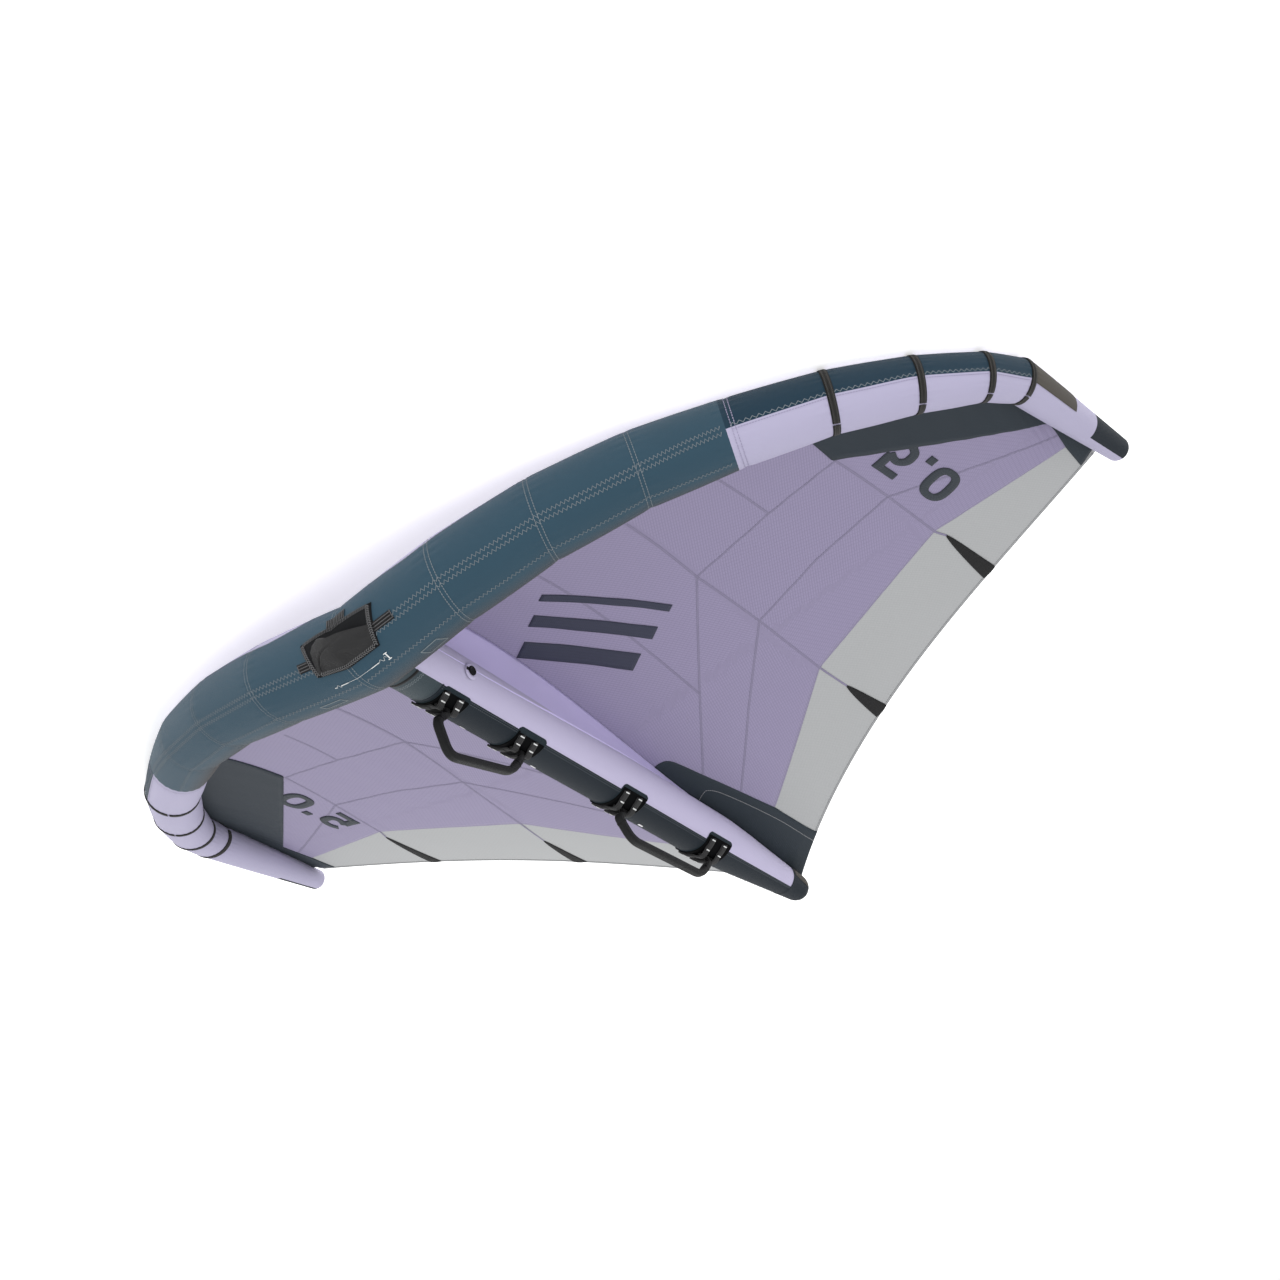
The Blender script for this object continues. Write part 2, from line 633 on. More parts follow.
# Sleeve of the leading edge
SLEEVE_STEPS = (0, 0.02, 0.045, 0.08, 0.13, 0.21, 0.34, 0.5, 0.66, 0.79, 0.87, 0.92, 0.955, 0.98, 1)
SEAM_GROOVE = 0.0014
SEAM_GROOVE_WIDTH = 0.010
PANEL_BULGE = 0.0022
BULGE_REACH = 0.06
PUCKER = 0.0005
PUCKER_REACH = 0.030
PUCKER_START = 0.014
PUCKER_COUNT = 27
PUCKER_PHASE = 2.3
FINE_PUCKER_SHARE = 0.35
FINE_PUCKER_RATIO = 1.6
FRONT_SEAM_PLACES = (0, 2.98, 3.53, 3.85, 5.39, 5.85, 6.78, 7.75, 9)
FRONT_SEAM_ANGLES = (-128.5, -128.5, -120.7, -118.5, -115, -112.6, -117.3, -124.5, -124.5)
TOP_SEAM_PLACES = (0, 0.2, 0.36, 0.45, 0.76, 1.3, 2, 3, 4, 9)
TOP_SEAM_ANGLES = (-36, -36, -44, -56, -64, -56, -46, -42, -38, -38)
LOWER_SEAM_PLACES = (0, 3.5, 3.94, 8, 8.6)
LOWER_SEAM_ANGLES = (-173, -176, -178, -176, -176)
TEAL_END = 3.92
DARK_TIP_START = 8.64
SLEEVE_COLUMNS = (50, 30, 30, 46)
TIP_PLACES = (8.95, 9.0)
TIP_DOME_ANGLES = (22, 45, 64, 80, 89.5)
UV_ROUND = 0.1


def front_seam(place):
    """Angle of the front seam in degrees."""
    return np.interp(np.abs(place), FRONT_SEAM_PLACES, FRONT_SEAM_ANGLES)


def top_seam(place):
    """Angle in degrees at which the teal front ends."""
    return np.interp(np.abs(place), TOP_SEAM_PLACES, TOP_SEAM_ANGLES)


def lower_seam(place):
    """Angle in degrees of the seam under the handles' side."""
    return np.interp(np.abs(place), LOWER_SEAM_PLACES, LOWER_SEAM_ANGLES)


def sleeve_offset(place, angle):
    """The inflated cloth's relief: a groove and puckers at each seam, a slight bulge between seams."""
    place = np.abs(place)
    nearest = np.clip(np.round(place), 0, LAST_SEAM)
    far = np.abs(along_edge(place) - along_edge(nearest))
    groove = -SEAM_GROOVE * np.exp(-((far / SEAM_GROOVE_WIDTH) ** 2))
    bulge = PANEL_BULGE * (1 - np.exp(-far / BULGE_REACH))
    phase = PUCKER_PHASE * nearest
    fine = np.sin(FINE_PUCKER_RATIO * PUCKER_COUNT * angle - 2 * phase)
    ripple = np.sin(PUCKER_COUNT * angle + phase) + FINE_PUCKER_SHARE * fine
    pucker = PUCKER * np.exp(-((far - PUCKER_START) / PUCKER_REACH) ** 2) * ripple
    return groove + bulge + pucker


def sleeve_angles(place):
    """Columns round the tube that keep to the lengthwise seams."""
    start = attach(place)
    seams = [2 * pi + radians(seam(place)) for seam in (lower_seam, front_seam, top_seam)]
    edges = [start, *seams, start + 2 * pi]
    angles = []
    for low, high, count in zip(edges, edges[1:], SLEEVE_COLUMNS):
        angles += [low + (high - low) * k / count for k in range(count)]
    return np.array(angles)


def sleeve_row(place):
    """Materials round the tube: behind, under, front and top."""
    if place > DARK_TIP_START:
        zones = (1, 2, 2, 1)
    elif place > LAST_SEAM:
        zones = (1, 1, 1, 1)
    elif place > TEAL_END:
        zones = (1, 1, 3, 1)
    else:
        zones = (0, 0, 0, 1)
    return [zone for zone, count in zip(zones, SLEEVE_COLUMNS) for _ in range(count)]


def sleeve_places():
    """Places of the tube's rings, close together beside each seam, from the right tip to the left."""
    places = [0.0, TEAL_END, DARK_TIP_START, *TIP_PLACES]
    for seam in range(LAST_SEAM):
        places += [seam + step for step in SLEEVE_STEPS[1:]]
    places += [LAST_SEAM + step * (TIP_CAP_SEAM - LAST_SEAM) for step in SLEEVE_STEPS[1:]]
    places = np.unique(np.round(places, 4))
    return np.r_[-places[:0:-1], places]


def tip_dome(rim, side):
    """The dome over the last ring: end + (ring - end) cos a + length sin a along, for rising angles a."""
    flip = np.array([side, 1, 1])
    end = CENTRES[-1] * flip
    lifts = np.radians(TIP_DOME_ANGLES)[:, None, None]
    return end + (rim - end) * np.cos(lifts) + ALONG[-1] * flip * TIP_DOME_LENGTH * np.sin(lifts)


def make_sleeve():
    """Panels between seams: teal in the middle and in front, lavender behind and on the flight's top."""
    places = sleeve_places()
    points, uvs = [], []
    for place in places:
        angles = sleeve_angles(place)
        points.append(tube(place, angles, sleeve_offset(place, angles)))
        uvs.append(stacked(np.full(len(angles), along_edge(place)), angles * UV_ROUND))
    slots = [sleeve_row(place) for place in (np.abs(places[:-1]) + np.abs(places[1:])) / 2]
    steps = len(TIP_DOME_ANGLES)
    points = np.concatenate([tip_dome(points[0], -1)[::-1], points, tip_dome(points[-1], 1)])
    uvs = np.array(uvs[:1] * steps + uvs + uvs[-1:] * steps)
    slots = slots[:1] * steps + slots + slots[-1:] * steps
    nodes = ["leading_edge_panel_center"]
    for _, name in SIDES:
        nodes += [f"wingtip_panel_{name}", f"wingtip_cap_{name}"]
        nodes += [f"leading_edge_panel_{name}_{number}" for number in range(2, LAST_SEAM + 1)]
    materials = ["teal", "lavender", "dark", "outer_teal"]
    sleeve = grid_piece(
        "leading_edge_sleeve", points, uvs, materials, slots, closed=True, slot="teal_sleeve", nodes=nodes
    )


# Canopy
PANEL_LINE = ((0.0, 1.800), (0.159, 1.730), (0.584, 1.374), (1.088, 1.261), (1.536, 1.368))
CANOPY_COLUMNS = 110
CANOPY_ROWS = 64
PANEL_ROWS = 26
PANEL_TUCK = 0.0016
PANEL_OVERLAP = 0.012
CANOPY_STOP = 0.005
PANEL_TURN = atan2(0.6, 0.8)
SAIL_WRINKLE = 0.0016
SCALLOP_REACH = 0.10
SCALLOP_SHARE_OF_WRINKLE = 1.4
FOLD_SHARE_OF_WRINKLE = 0.5
FOLDS_ALONG, FOLDS_BACK = 2.3, 1.1
CLOTH_WALL = 0.0008
PANEL_WALL = 0.0012
OUTER_CELL, MIDDLE_CELL, BACK_CELL = 1.05, 0.56, 1.07
CELL_TURNS = (radians(-24), radians(28), radians(62))
BACK_CELL_TURN = radians(38)


def panel_share(place):
    """Chord share at which the canopy crosses its seam with the trailing edge panel."""
    shares = np.linspace(0.4, 1.0, 400)
    found = []
    for one in np.unique(place):
        line = canopy(one, shares)
        past = line[:, 1] - np.interp(line[:, 0], *np.array(PANEL_LINE).T)
        found.append(np.interp(0.0, past, shares))
    return np.interp(place, np.unique(place), found)


def sail_relief(place, chord):
    """Slight relief of the stretched sail: puckers under each tube seam and soft folds behind them."""
    scallop = np.cos(2 * pi * place) * np.exp(-chord / SCALLOP_REACH) * SCALLOP_SHARE_OF_WRINKLE
    turn = 2 * pi * (place * FOLDS_ALONG + chord * FOLDS_BACK)
    folds = np.sin(turn) * humped(chord) * FOLD_SHARE_OF_WRINKLE
    return SAIL_WRINKLE * (scallop + folds) * (np.abs(chord) > 0)


def sail(place, chord):
    """The canopy with its relief, moved along Z, which is near its normal."""
    points = canopy(place, chord)
    points[..., 2] += sail_relief(place, chord)
    return points


def cell_turn(across, along):
    """Direction of the cloth in each panel between the canopy's seams."""
    outer = across > OUTER_CELL
    middle = (across > MIDDLE_CELL) & ~outer
    turn = np.where(outer, CELL_TURNS[2], np.where(middle, CELL_TURNS[1], CELL_TURNS[0]))
    return turn + np.where(along > BACK_CELL + 0.1 * across, BACK_CELL_TURN, 0.0)


def turned_plan(across, along, turn):
    """The plan's coordinates, turned."""
    cosine, sine = np.cos(turn), np.sin(turn)
    return stacked(across * cosine + along * sine, along * cosine - across * sine)


def sail_uvs(points):
    """Cloth coordinates: the plan, turned by each panel's own direction."""
    across, along = np.abs(points[..., 0]), points[..., 1]
    return turned_plan(across, along, cell_turn(across, along))


def make_canopy():
    """One continuous sheet from tip to tip."""
    places = CANOPY_LAST_SEAM * np.linspace(0, 1, CANOPY_COLUMNS + 1)
    place, share = spread(places, np.linspace(0, 1, CANOPY_ROWS + 1))
    half = sail(place, share * (panel_share(place) - CANOPY_STOP))
    points = np.concatenate([half[:0:-1] * np.array([-1, 1, 1]), half])
    uvs = np.concatenate([sail_uvs(half[:0:-1]), sail_uvs(half)])
    obj = grid_piece(
        "canopy", points, uvs, ["canopy"], wall=CLOTH_WALL, slot="lavender_ripstop",
        nodes=["canopy_left", "canopy_right"],
    )


def make_trailing_panels():
    """The grey panels sewn behind the canopy, their front edges tucked under its back edge."""
    places = CANOPY_LAST_SEAM * np.linspace(0, 1, CANOPY_COLUMNS + 1)
    place, share = spread(places, np.linspace(0, 1, PANEL_ROWS + 1))
    seam = panel_share(place) - PANEL_OVERLAP
    panel = sail(place, seam + (1 - seam) * share)
    panel[..., 2] -= PANEL_TUCK * (1 - share) ** 8
    for side, name in SIDES:
        points = panel if side > 0 else both_sides(panel.transpose(1, 0, 2)).transpose(1, 0, 2)
        uvs = turned_plan(points[..., 0], points[..., 1], PANEL_TURN)
        obj = grid_piece(
            f"trailing_panel_{name}", points, uvs, ["trailing"], wall=PANEL_WALL, slot="grey_ripstop",
            nodes=[f"trailing_edge_panel_{name}"],
        )


# Strut
STRUT_START = 0.060
RIPPLE = 0.0005
RIPPLE_WIDTH = 0.09
RIPPLE_PITCH = 0.021
SEAM_DIP = 0.0009
SEAM_DIP_WIDTH = 0.03
TAIL_LIFT = 0.0006
TAIL_LIP = 0.004
TAIL_LIP_SHARE = 1.012
TAIL_SIDES = 64
STRUT_UV_ROUND = 0.08
TAIL_UV_ROUND = 0.05


def strut_relief(along, angle):
    """The strut's inflated cloth: fine lengthwise ripples near its long seams."""
    far = np.abs(angle) - np.where(angle > 0, LEFT_PANEL_ANGLE, LOWER_PANEL_ANGLE)
    ripple = RIPPLE * np.exp(-((far / RIPPLE_WIDTH) ** 2)) * np.sin(2 * pi * along / RIPPLE_PITCH)
    return ripple - SEAM_DIP * np.exp(-((far / SEAM_DIP_WIDTH) ** 2))


def make_strut():
    """Collar, dark lower panel and lavender upper panel in one sleeve."""
    ys = np.unique(np.r_[np.linspace(STRUT_START, STRUT_LENGTH - TAIL_CAP_LENGTH, 90), COLLAR_END])
    low = np.linspace(-LOWER_PANEL_ANGLE, LEFT_PANEL_ANGLE, 20)
    high = np.linspace(LEFT_PANEL_ANGLE, 2 * pi - LOWER_PANEL_ANGLE, 53)[1:-1]
    along, angle = spread(ys, np.r_[low, high])
    wrapped = (angle + pi) % (2 * pi) - pi
    points = strut(along, angle, strut_relief(along, wrapped))
    uvs = stacked(along, angle * STRUT_UV_ROUND)
    middle = (ys[:-1] + ys[1:]) / 2
    slots = [[0 if y < COLLAR_END else 1] * (len(low) - 1) + [2] * (len(high) + 1) for y in middle]
    sleeve = grid_piece(
        "strut_sleeve", points, uvs, ["collar", "dark", "strut_lavender"], slots, closed=True,
        slot="lavender_sleeve", nodes=["strut_collar", "strut_lower_panel", "strut_upper_panel"],
    )


def make_tail_cap():
    """The strut's tail: a raised lip, a wall and an elliptic dome of height cos a at a place of sin a."""
    tail, dome = STRUT_LENGTH - TAIL_CAP_LENGTH, STRUT_LENGTH - TAIL_DOME_LENGTH
    rows = [(tail - TAIL_LIP, 1.0), (tail, TAIL_LIP_SHARE), (tail + TAIL_LIP, 1.0)]
    rows += [((tail + dome) / 2, 1.0), (dome, 1.0)]
    rows += [(dome + TAIL_DOME_LENGTH * sin(lift), cos(lift)) for lift in np.linspace(0, pi / 2, 9)[1:]]
    along, share = (np.array(values)[:, None] for values in zip(*rows))
    turn = np.tile(turns(TAIL_SIDES), (len(rows), 1))
    radius = strut_radius(np.minimum(along, dome)) * share + TAIL_LIFT
    along = np.broadcast_to(along, turn.shape)
    points = stacked(radius * np.sin(turn), along, strut_axis(along) + radius * np.cos(turn))
    uvs = stacked(along, turn * TAIL_UV_ROUND)
    grid_piece("tail_cap", points, uvs, ["dark"], closed=True, slot="dark_sleeve", nodes=["strut_tail_cap"])


# Webs between the strut and the canopy
WEB_START = 0.085
WEB_LAST = 1.46
WEB_FOOT_FRONT = radians(88)
WEB_FOOT_BACK = radians(155)
WEB_TOP_FRONT = 0.080
WEB_TOP_BACK = 0.022
WEB_FOOT_LIFT = 0.0002
WEB_BOW = 0.010
WEB_UV_HEIGHT = 0.12


def make_webs():
    """Curved cloth from the strut's sides up to the canopy."""
    share, lift = spread(np.linspace(0, 1, 70), np.linspace(0, 1, 15))
    along = WEB_START + (WEB_LAST - WEB_START) * share
    foot = strut(along, WEB_FOOT_FRONT + (WEB_FOOT_BACK - WEB_FOOT_FRONT) * share ** 2, WEB_FOOT_LIFT)
    head = on_canopy(WEB_TOP_FRONT + (WEB_TOP_BACK - WEB_TOP_FRONT) * share ** 0.5, along)
    head[..., 2] += SEW_LIFT
    points = foot + (head - foot) * lift[..., None]
    points[..., 0] -= WEB_BOW * np.sin(pi * lift) * (1 - share)
    for side, name in SIDES:
        half = points if side > 0 else both_sides(points)
        uvs = stacked(half[..., 1], lift * WEB_UV_HEIGHT)
        obj = grid_piece(
            f"strut_web_cloth_{name}", half, uvs, ["web"], wall=CLOTH_WALL, slot="lavender_sleeve",
            nodes=[f"strut_web_{name}"],
        )


# Strips, stitches and threads along flat paths
THREAD_LIFT = 0.0011
PATH_STEP = 0.01


def run_lengths(path):
    """Distance along a path up to each of its points."""
    return np.r_[0, np.cumsum(np.linalg.norm(np.diff(path, axis=0), axis=1))]


def path_at(path, distances):
    """Points of a path at the given distances."""
    runs = run_lengths(path)
    return stacked(*(np.interp(distances, runs, column) for column in path.T))


def dense(path, step):
    """The same path with points no further apart than the step, its corners kept."""
    path = np.asarray(path, float)
    runs = run_lengths(path)
    count = int(np.ceil(runs[-1] / step)) + 1
    return path_at(path, np.unique(np.r_[np.linspace(0, runs[-1], count), runs]))


def smooth_path(points, count=40):
    """A smooth line through points: each span is a cubic whose slopes come from the points beside it."""
    points = np.asarray(points, float)
    slopes = np.gradient(points, axis=0)
    spans = []
    for first, last, slope, next_slope in zip(points, points[1:], slopes, slopes[1:]):
        t = np.linspace(0, 1, max(2, count // (len(points) - 1)), endpoint=False)[:, None]
        spans.append(
            (1 + 2 * t) * (1 - t) ** 2 * first + t * (1 - t) ** 2 * slope
            + t * t * (3 - 2 * t) * last + t * t * (t - 1) * next_slope
        )
    return np.vstack([*spans, points[-1:]])


def left_of(path):
    """Unit steps to the left of a flat path."""
    run = unit(np.gradient(path, axis=0))
    return stacked(-run[:, 1], run[:, 0])


def beside(path, offsets):
    """Lines beside a flat path, at the given distances to its left."""
    return path[:, None, :] + left_of(path)[:, None, :] * np.asarray(offsets, float)[None, :, None]


def ribbon(parts, surface, path, width, lift=0.0006, slot=0, step=0.012, crown=0.0, columns=2):
    """A strip along a flat path laid on a surface; the crown raises its middle."""
    path = dense(path, step) if step else np.asarray(path, float)
    offsets = np.linspace(-width / 2, width / 2, max(columns, 5 if crown else 2))
    flat = beside(path, offsets)
    lifts = lift + crown * (1 - (2 * offsets / width) ** 2) * np.ones((len(path), 1))
    uvs = stacked(*spread(run_lengths(path), offsets))
    parts.add(surface(flat, lifts), uvs, slot)


def stitches(parts, surface, path, slot=0, length=0.0055, gap=0.0020, width=0.0021, lift=THREAD_LIFT):
    """A straight row of stitches along a flat path."""
    path = dense(path, PATH_STEP)
    starts = np.arange(gap, run_lengths(path)[-1] - length, length + gap)
    first, last = path_at(path, starts), path_at(path, starts + length)
    run = unit(last - first)
    side = stacked(-run[:, 1], run[:, 0]) * width / 2
    flat = np.stack([first - side, first + side, last - side, last + side], axis=1).reshape(-1, 2, 2, 2)
    points = surface(flat, np.full(flat.shape[:-1], lift))
    for stitch, place in zip(points, flat):
        parts.add(stitch, place, slot)


def zigzag_row(parts, surface, path, slot=0, pitch=0.0118, reach=0.0043, width=0.0023, lift=THREAD_LIFT):
    """A row of thread that swings from side to side of a flat path on a surface."""
    path = dense(path, PATH_STEP)
    total = run_lengths(path)[-1]
    count = max(2, int(2 * total / pitch))
    centre = path_at(path, np.linspace(0, total, count + 1))
    swings = centre + left_of(centre) * reach * ((-1.0) ** np.arange(count + 1))[:, None]
    ribbon(parts, surface, swings, width, lift, slot, step=None)


def edge_flat(place, degrees):
    """Flat place on the leading edge: distance along it and distance round it."""
    place = np.asarray(place, float)
    return stacked(*np.broadcast_arrays(along_edge(place), np.radians(degrees) * edge_radius(place)))


def edge_surface(flat, lift):
    """The leading edge's cloth over flat places."""
    place = edge_place(flat[..., 0])
    angle = flat[..., 1] / edge_radius(place)
    return tube(place, angle, sleeve_offset(place, angle) + lift)


def band_surface(flat, lift):
    """The leading edge without its groove and puckers, over which the bands are stretched."""
    place = edge_place(flat[..., 0])
    return tube(place, flat[..., 1] / edge_radius(place), lift)


def strut_flat(along, degrees):
    """Flat place on the strut: distance along it and distance round it."""
    along = np.asarray(along, float)
    return stacked(*np.broadcast_arrays(along, np.radians(degrees) * strut_radius(along)))


def strut_surface(flat, lift):
    """The strut's cloth over flat places."""
    angle = flat[..., 1] / strut_radius(flat[..., 0])
    return strut(flat[..., 0], angle, strut_relief(flat[..., 0], angle) + lift)


def sail_surface(flat, lift):
    """The canopy over flat places of the plan."""
    return on_canopy(flat[..., 0], flat[..., 1], lift)


# Seam bands
BAND_SEAMS = (5, 6, 7, 8)
BAND_WIDTH = 0.022
BAND_GAP_ANGLES = (-173.5, -169.5)
BAND_TOP_GAP = 12
BAND_BACK_GAP = 25
BAND_LIFT = 0.0011
BAND_CROWN = 0.0010
BAND_WALL = 0.0010
BAND_ROW_SHIFTS = (-0.0055, 0.0, 0.0055)
BAND_ZIGZAG = {"pitch": 0.0058, "reach": 0.0020, "width": 0.0012, "lift": BAND_LIFT + 0.0010}


def make_bands():
    """Webbing over the outer seams, in two runs with a small gap behind, sewn by zigzag rows."""
    for side, name in SIDES:
        for seam in BAND_SEAMS:
            parts = Parts()
            start = np.degrees(attach(seam))
            runs = (
                (start + BAND_BACK_GAP - 360, BAND_GAP_ANGLES[0]),
                (BAND_GAP_ANGLES[1], start - BAND_TOP_GAP),
            )
            for low, high in runs:
                path = flipped(edge_flat(seam, np.linspace(low, high, 90)), side)
                ribbon(parts, band_surface, path, BAND_WIDTH, BAND_LIFT, crown=BAND_CROWN, step=0.004)
                for shift in BAND_ROW_SHIFTS:
                    zigzag_row(parts, band_surface, path + np.array([shift, 0]), 1, **BAND_ZIGZAG)
            node = f"seam_band_{name}_{seam}"
            materials = ["band", "pale_seam"]
            parts.piece(f"{node}_webbing", materials, slot="black_webbing", nodes=[node], wall=BAND_WALL)


# Stitching of the leading edge
ROW_SHIFTS = (-0.0052, 0.0052)
ROW_STOP = 6
ZIGZAG_SHIFTS = (-0.0078, 0.0078)
OUTER_ROW_SHIFT = 0.0060
OUTER_ZIGZAG = {"pitch": 0.0170, "reach": 0.0036}
LOWER_ROW_ANGLE = -0.5
TOP_ROW_ANGLE = -3
CANOPY_ROW_ANGLE = 14
INNER_ROW_ENDS = (0.03, TEAL_END - 0.05)
OUTER_ROW_ENDS = (TEAL_END + 0.05, LAST_SEAM - 0.1)
CANOPY_ROW_ENDS = (0.25, 8.6)


def edge_row(places, degrees, side, shift=0.0):
    """A lengthwise row on the leading edge, moved round it by the shift."""
    return flipped(edge_flat(places, degrees), side) + np.array([0, shift])


def make_edge_stitching():
    """Rows beside each seam, zigzag rows along the front seam, and rows beside the other long seams."""
    parts = Parts()
    inner = np.linspace(*INNER_ROW_ENDS, 60)
    outer = np.linspace(*OUTER_ROW_ENDS, 60)
    whole = np.linspace(*CANOPY_ROW_ENDS, 120)
    for side, _ in SIDES:
        for seam in range(0 if side > 0 else 1, LAST_SEAM + 1):
            start = np.degrees(attach(seam))
            around = np.linspace(start + ROW_STOP, start + 360 - ROW_STOP, 120)
            for shift in ROW_SHIFTS:
                path = flipped(edge_flat(seam, around), side) + np.array([shift, 0])
                stitches(parts, edge_surface, path, 0 if seam <= TEAL_END else 1)
        for shift in ZIGZAG_SHIFTS:
            zigzag_row(parts, edge_surface, edge_row(inner, front_seam(inner), side, shift))
        path = edge_row(outer, front_seam(outer), side, OUTER_ROW_SHIFT)
        zigzag_row(parts, edge_surface, path, **OUTER_ZIGZAG)
        stitches(parts, edge_surface, edge_row(outer, front_seam(outer), side, -OUTER_ROW_SHIFT), 1)
        for degrees in (lower_seam(inner) + LOWER_ROW_ANGLE, top_seam(inner) + TOP_ROW_ANGLE):
            zigzag_row(parts, edge_surface, edge_row(inner, degrees, side))
        degrees = np.degrees(attach(whole)) - 360 + CANOPY_ROW_ANGLE
        stitches(parts, edge_surface, edge_row(whole, degrees, side), 1)
    parts.piece("leading_edge_stitching", ["thread", "lavender_thread"], slot="teal_sleeve")


# Labels and wear patches
EDGE_TAGS = (
    ((-0.52, -190), (-0.70, -188), (-0.757, -204), (-0.555, -206)),
    ((0.34, -184), (0.57, -184), (0.55, -194), (0.32, -194)),
)
EDGE_TAG_LINE = {"width": 0.0028, "lift": 0.0010, "step": 0.006}


def make_edge_tags():
    """Outlines of blank labels behind the lower seam, one on each side of the strut."""
    parts = Parts()
    for corners in EDGE_TAGS:
        path = np.array([edge_flat(place, degrees) for place, degrees in corners + corners[:1]])
        ribbon(parts, edge_surface, path, **EDGE_TAG_LINE)
    parts.piece("edge_label_outlines", ["outline"], slot="white_cord")


SCUFF_CORNERS = ((7.99, -40.0), (8.42, -40.0), (8.42, -132.9), (7.99, -133.1))
TAIL_SCUFF_CORNERS = ((1.975, -88), (2.090, -70), (2.090, -150), (1.975, -150))
SCUFF_LIFT = 0.0009
SCUFF_CROWN = 0.0006


def quad_patch(parts, surface, corners, lift, slot=0, rows=24, columns=24, crown=0.0):
    """A four-sided patch between flat corners, its edges turned down when it has a crown."""
    first, second, third, fourth = (np.asarray(corner, float) for corner in corners)
    s, t = spread(np.linspace(0, 1, rows), np.linspace(0, 1, columns))
    s, t = s[..., None], t[..., None]
    flat = (1 - s) * ((1 - t) * first + t * second) + s * ((1 - t) * fourth + t * third)
    rim = 1 - np.maximum(np.abs(2 * s[..., 0] - 1), np.abs(2 * t[..., 0] - 1)) ** 12
    parts.add(surface(flat, lift + crown * rim), flat, slot)


def tail_surface(flat, lift):
    """The tail cap's wall and dome, over places given by distance along the strut and angle."""
    dome = STRUT_LENGTH - TAIL_DOME_LENGTH
    past = np.clip((flat[..., 0] - dome) / TAIL_DOME_LENGTH, 0, 1)
    radius = (strut_radius(np.minimum(flat[..., 0], dome)) + TAIL_LIFT) * np.sqrt(1 - past ** 2) + lift
    turn = stacked(np.sin(flat[..., 1]), np.zeros(flat.shape[:-1]), np.cos(flat[..., 1]))
    centre = stacked(np.zeros(flat.shape[:-1]), flat[..., 0], strut_axis(flat[..., 0]))
    return centre + radius[..., None] * turn


def make_scuff_patches():
    """Rough patches on the tips' fronts and on the tail, where the wing drags on the ground."""
    parts = Parts()
    for side, _ in SIDES:
        corners = [flipped(edge_flat(place, degrees), side) for place, degrees in SCUFF_CORNERS]
        quad_patch(parts, edge_surface, corners, SCUFF_LIFT, rows=40, columns=20, crown=SCUFF_CROWN)
    corners = [(along, radians(degrees)) for along, degrees in TAIL_SCUFF_CORNERS]
    quad_patch(parts, tail_surface, corners, SCUFF_LIFT, crown=SCUFF_CROWN)
    parts.piece("tip_scuff_patches", ["scuff"], slot="dark_sleeve")


# Canopy seams and prints
SAIL_SEAMS = (
    ((0.554, 0.438), (0.548, 0.780), (0.568, 1.065), (0.584, 1.374), (0.595, 1.503)),
    ((0.802, 0.526), (0.813, 0.765)),
    ((1.041, 0.768), (1.066, 1.019), (1.088, 1.261), (1.102, 1.302)),
    ((1.041, 0.768), (0.813, 0.765), (0.548, 0.780), (0.290, 1.135), (0.102, 1.399)),
    ((1.066, 1.019), (0.807, 1.024), (0.568, 1.065), (0.357, 1.299), (0.131, 1.566)),
    ((1.066, 1.019), (1.504, 1.293)),
    ((0.293, 0.360), (0.290, 1.135)),
)
SAIL_SEAM_WIDTH = 0.0050
SAIL_SEAM_LIFT = 0.0004
SAIL_ROW_SHIFTS = (-0.0024, 0.0024)
SAIL_ZIGZAG = {"pitch": 0.007, "reach": 0.0009, "width": 0.0009, "lift": SAIL_SEAM_LIFT + 0.0002}
PRINT_LIFT = 0.0010
TIP_PATCH_START = 4.32
TIP_PATCH_CORNER = (1.036, 0.756)
TIP_PATCH_END = 8.60
PATCH_LIFT = 0.0014
TIP_STRIP = ((1.511, 1.237), (1.500, 1.360), (1.498, 1.468))
REAR_PATCH = (
    (0.0, 1.245), (0.040, 1.243), (0.062, 1.252), (0.076, 1.275),
    (0.086, 1.320), (0.157, 1.722), (0.170, 1.939), (0.177, 2.10),
)
REAR_STITCH = (
    (0.020, 1.478), (0.052, 1.463), (0.072, 1.468),
    (0.094, 1.540), (0.132, 1.780), (0.142, 2.000),
)
REAR_PATCH_STOP = 0.004
PATCH_WALL = 0.0030
DARTS = (((1.102, 1.302), (1.110, 1.538)), ((0.595, 1.503), (0.601, 1.720)))
DART_HALF_WIDTH = 0.024
DART_POWER = 0.6
DART_RISE = 0.0016
DART_WALL = 0.0010
HEM_WIDTH = 0.009
HEM_REACH = 1.545
HEM_WALL = 0.0014


def between(parts, front, back, lift, slot=0, rows=60, columns=16):
    """A patch on the canopy between two lines of the plan."""
    lines = []
    for line in (front, back):
        line = np.asarray(line, float)
        lines.append(path_at(line, np.linspace(0, run_lengths(line)[-1], rows)))
    share = np.linspace(0, 1, columns)[None, :, None]
    flat = (1 - share) * lines[0][:, None] + share * lines[1][:, None]
    for side, _ in SIDES:
        turned = flipped(flat, side)
        parts.add(sail_surface(turned, np.full(flat.shape[:-1], lift)), sail_uvs(turned), slot)


def make_sail_seams():
    """Flat-felled seams between the canopy's panels, with two rows of zigzag thread each."""
    parts = Parts()
    for side, _ in SIDES:
        for line in SAIL_SEAMS:
            path = flipped(np.array(line), side)
            ribbon(parts, sail_surface, path, SAIL_SEAM_WIDTH, SAIL_SEAM_LIFT)
            for shift in SAIL_ROW_SHIFTS:
                row = beside(dense(path, 0.02), [shift])[:, 0]
                zigzag_row(parts, sail_surface, row, 1, **SAIL_ZIGZAG)
    parts.piece("canopy_seams", ["seam", "dark_thread"], slot="lavender_ripstop")


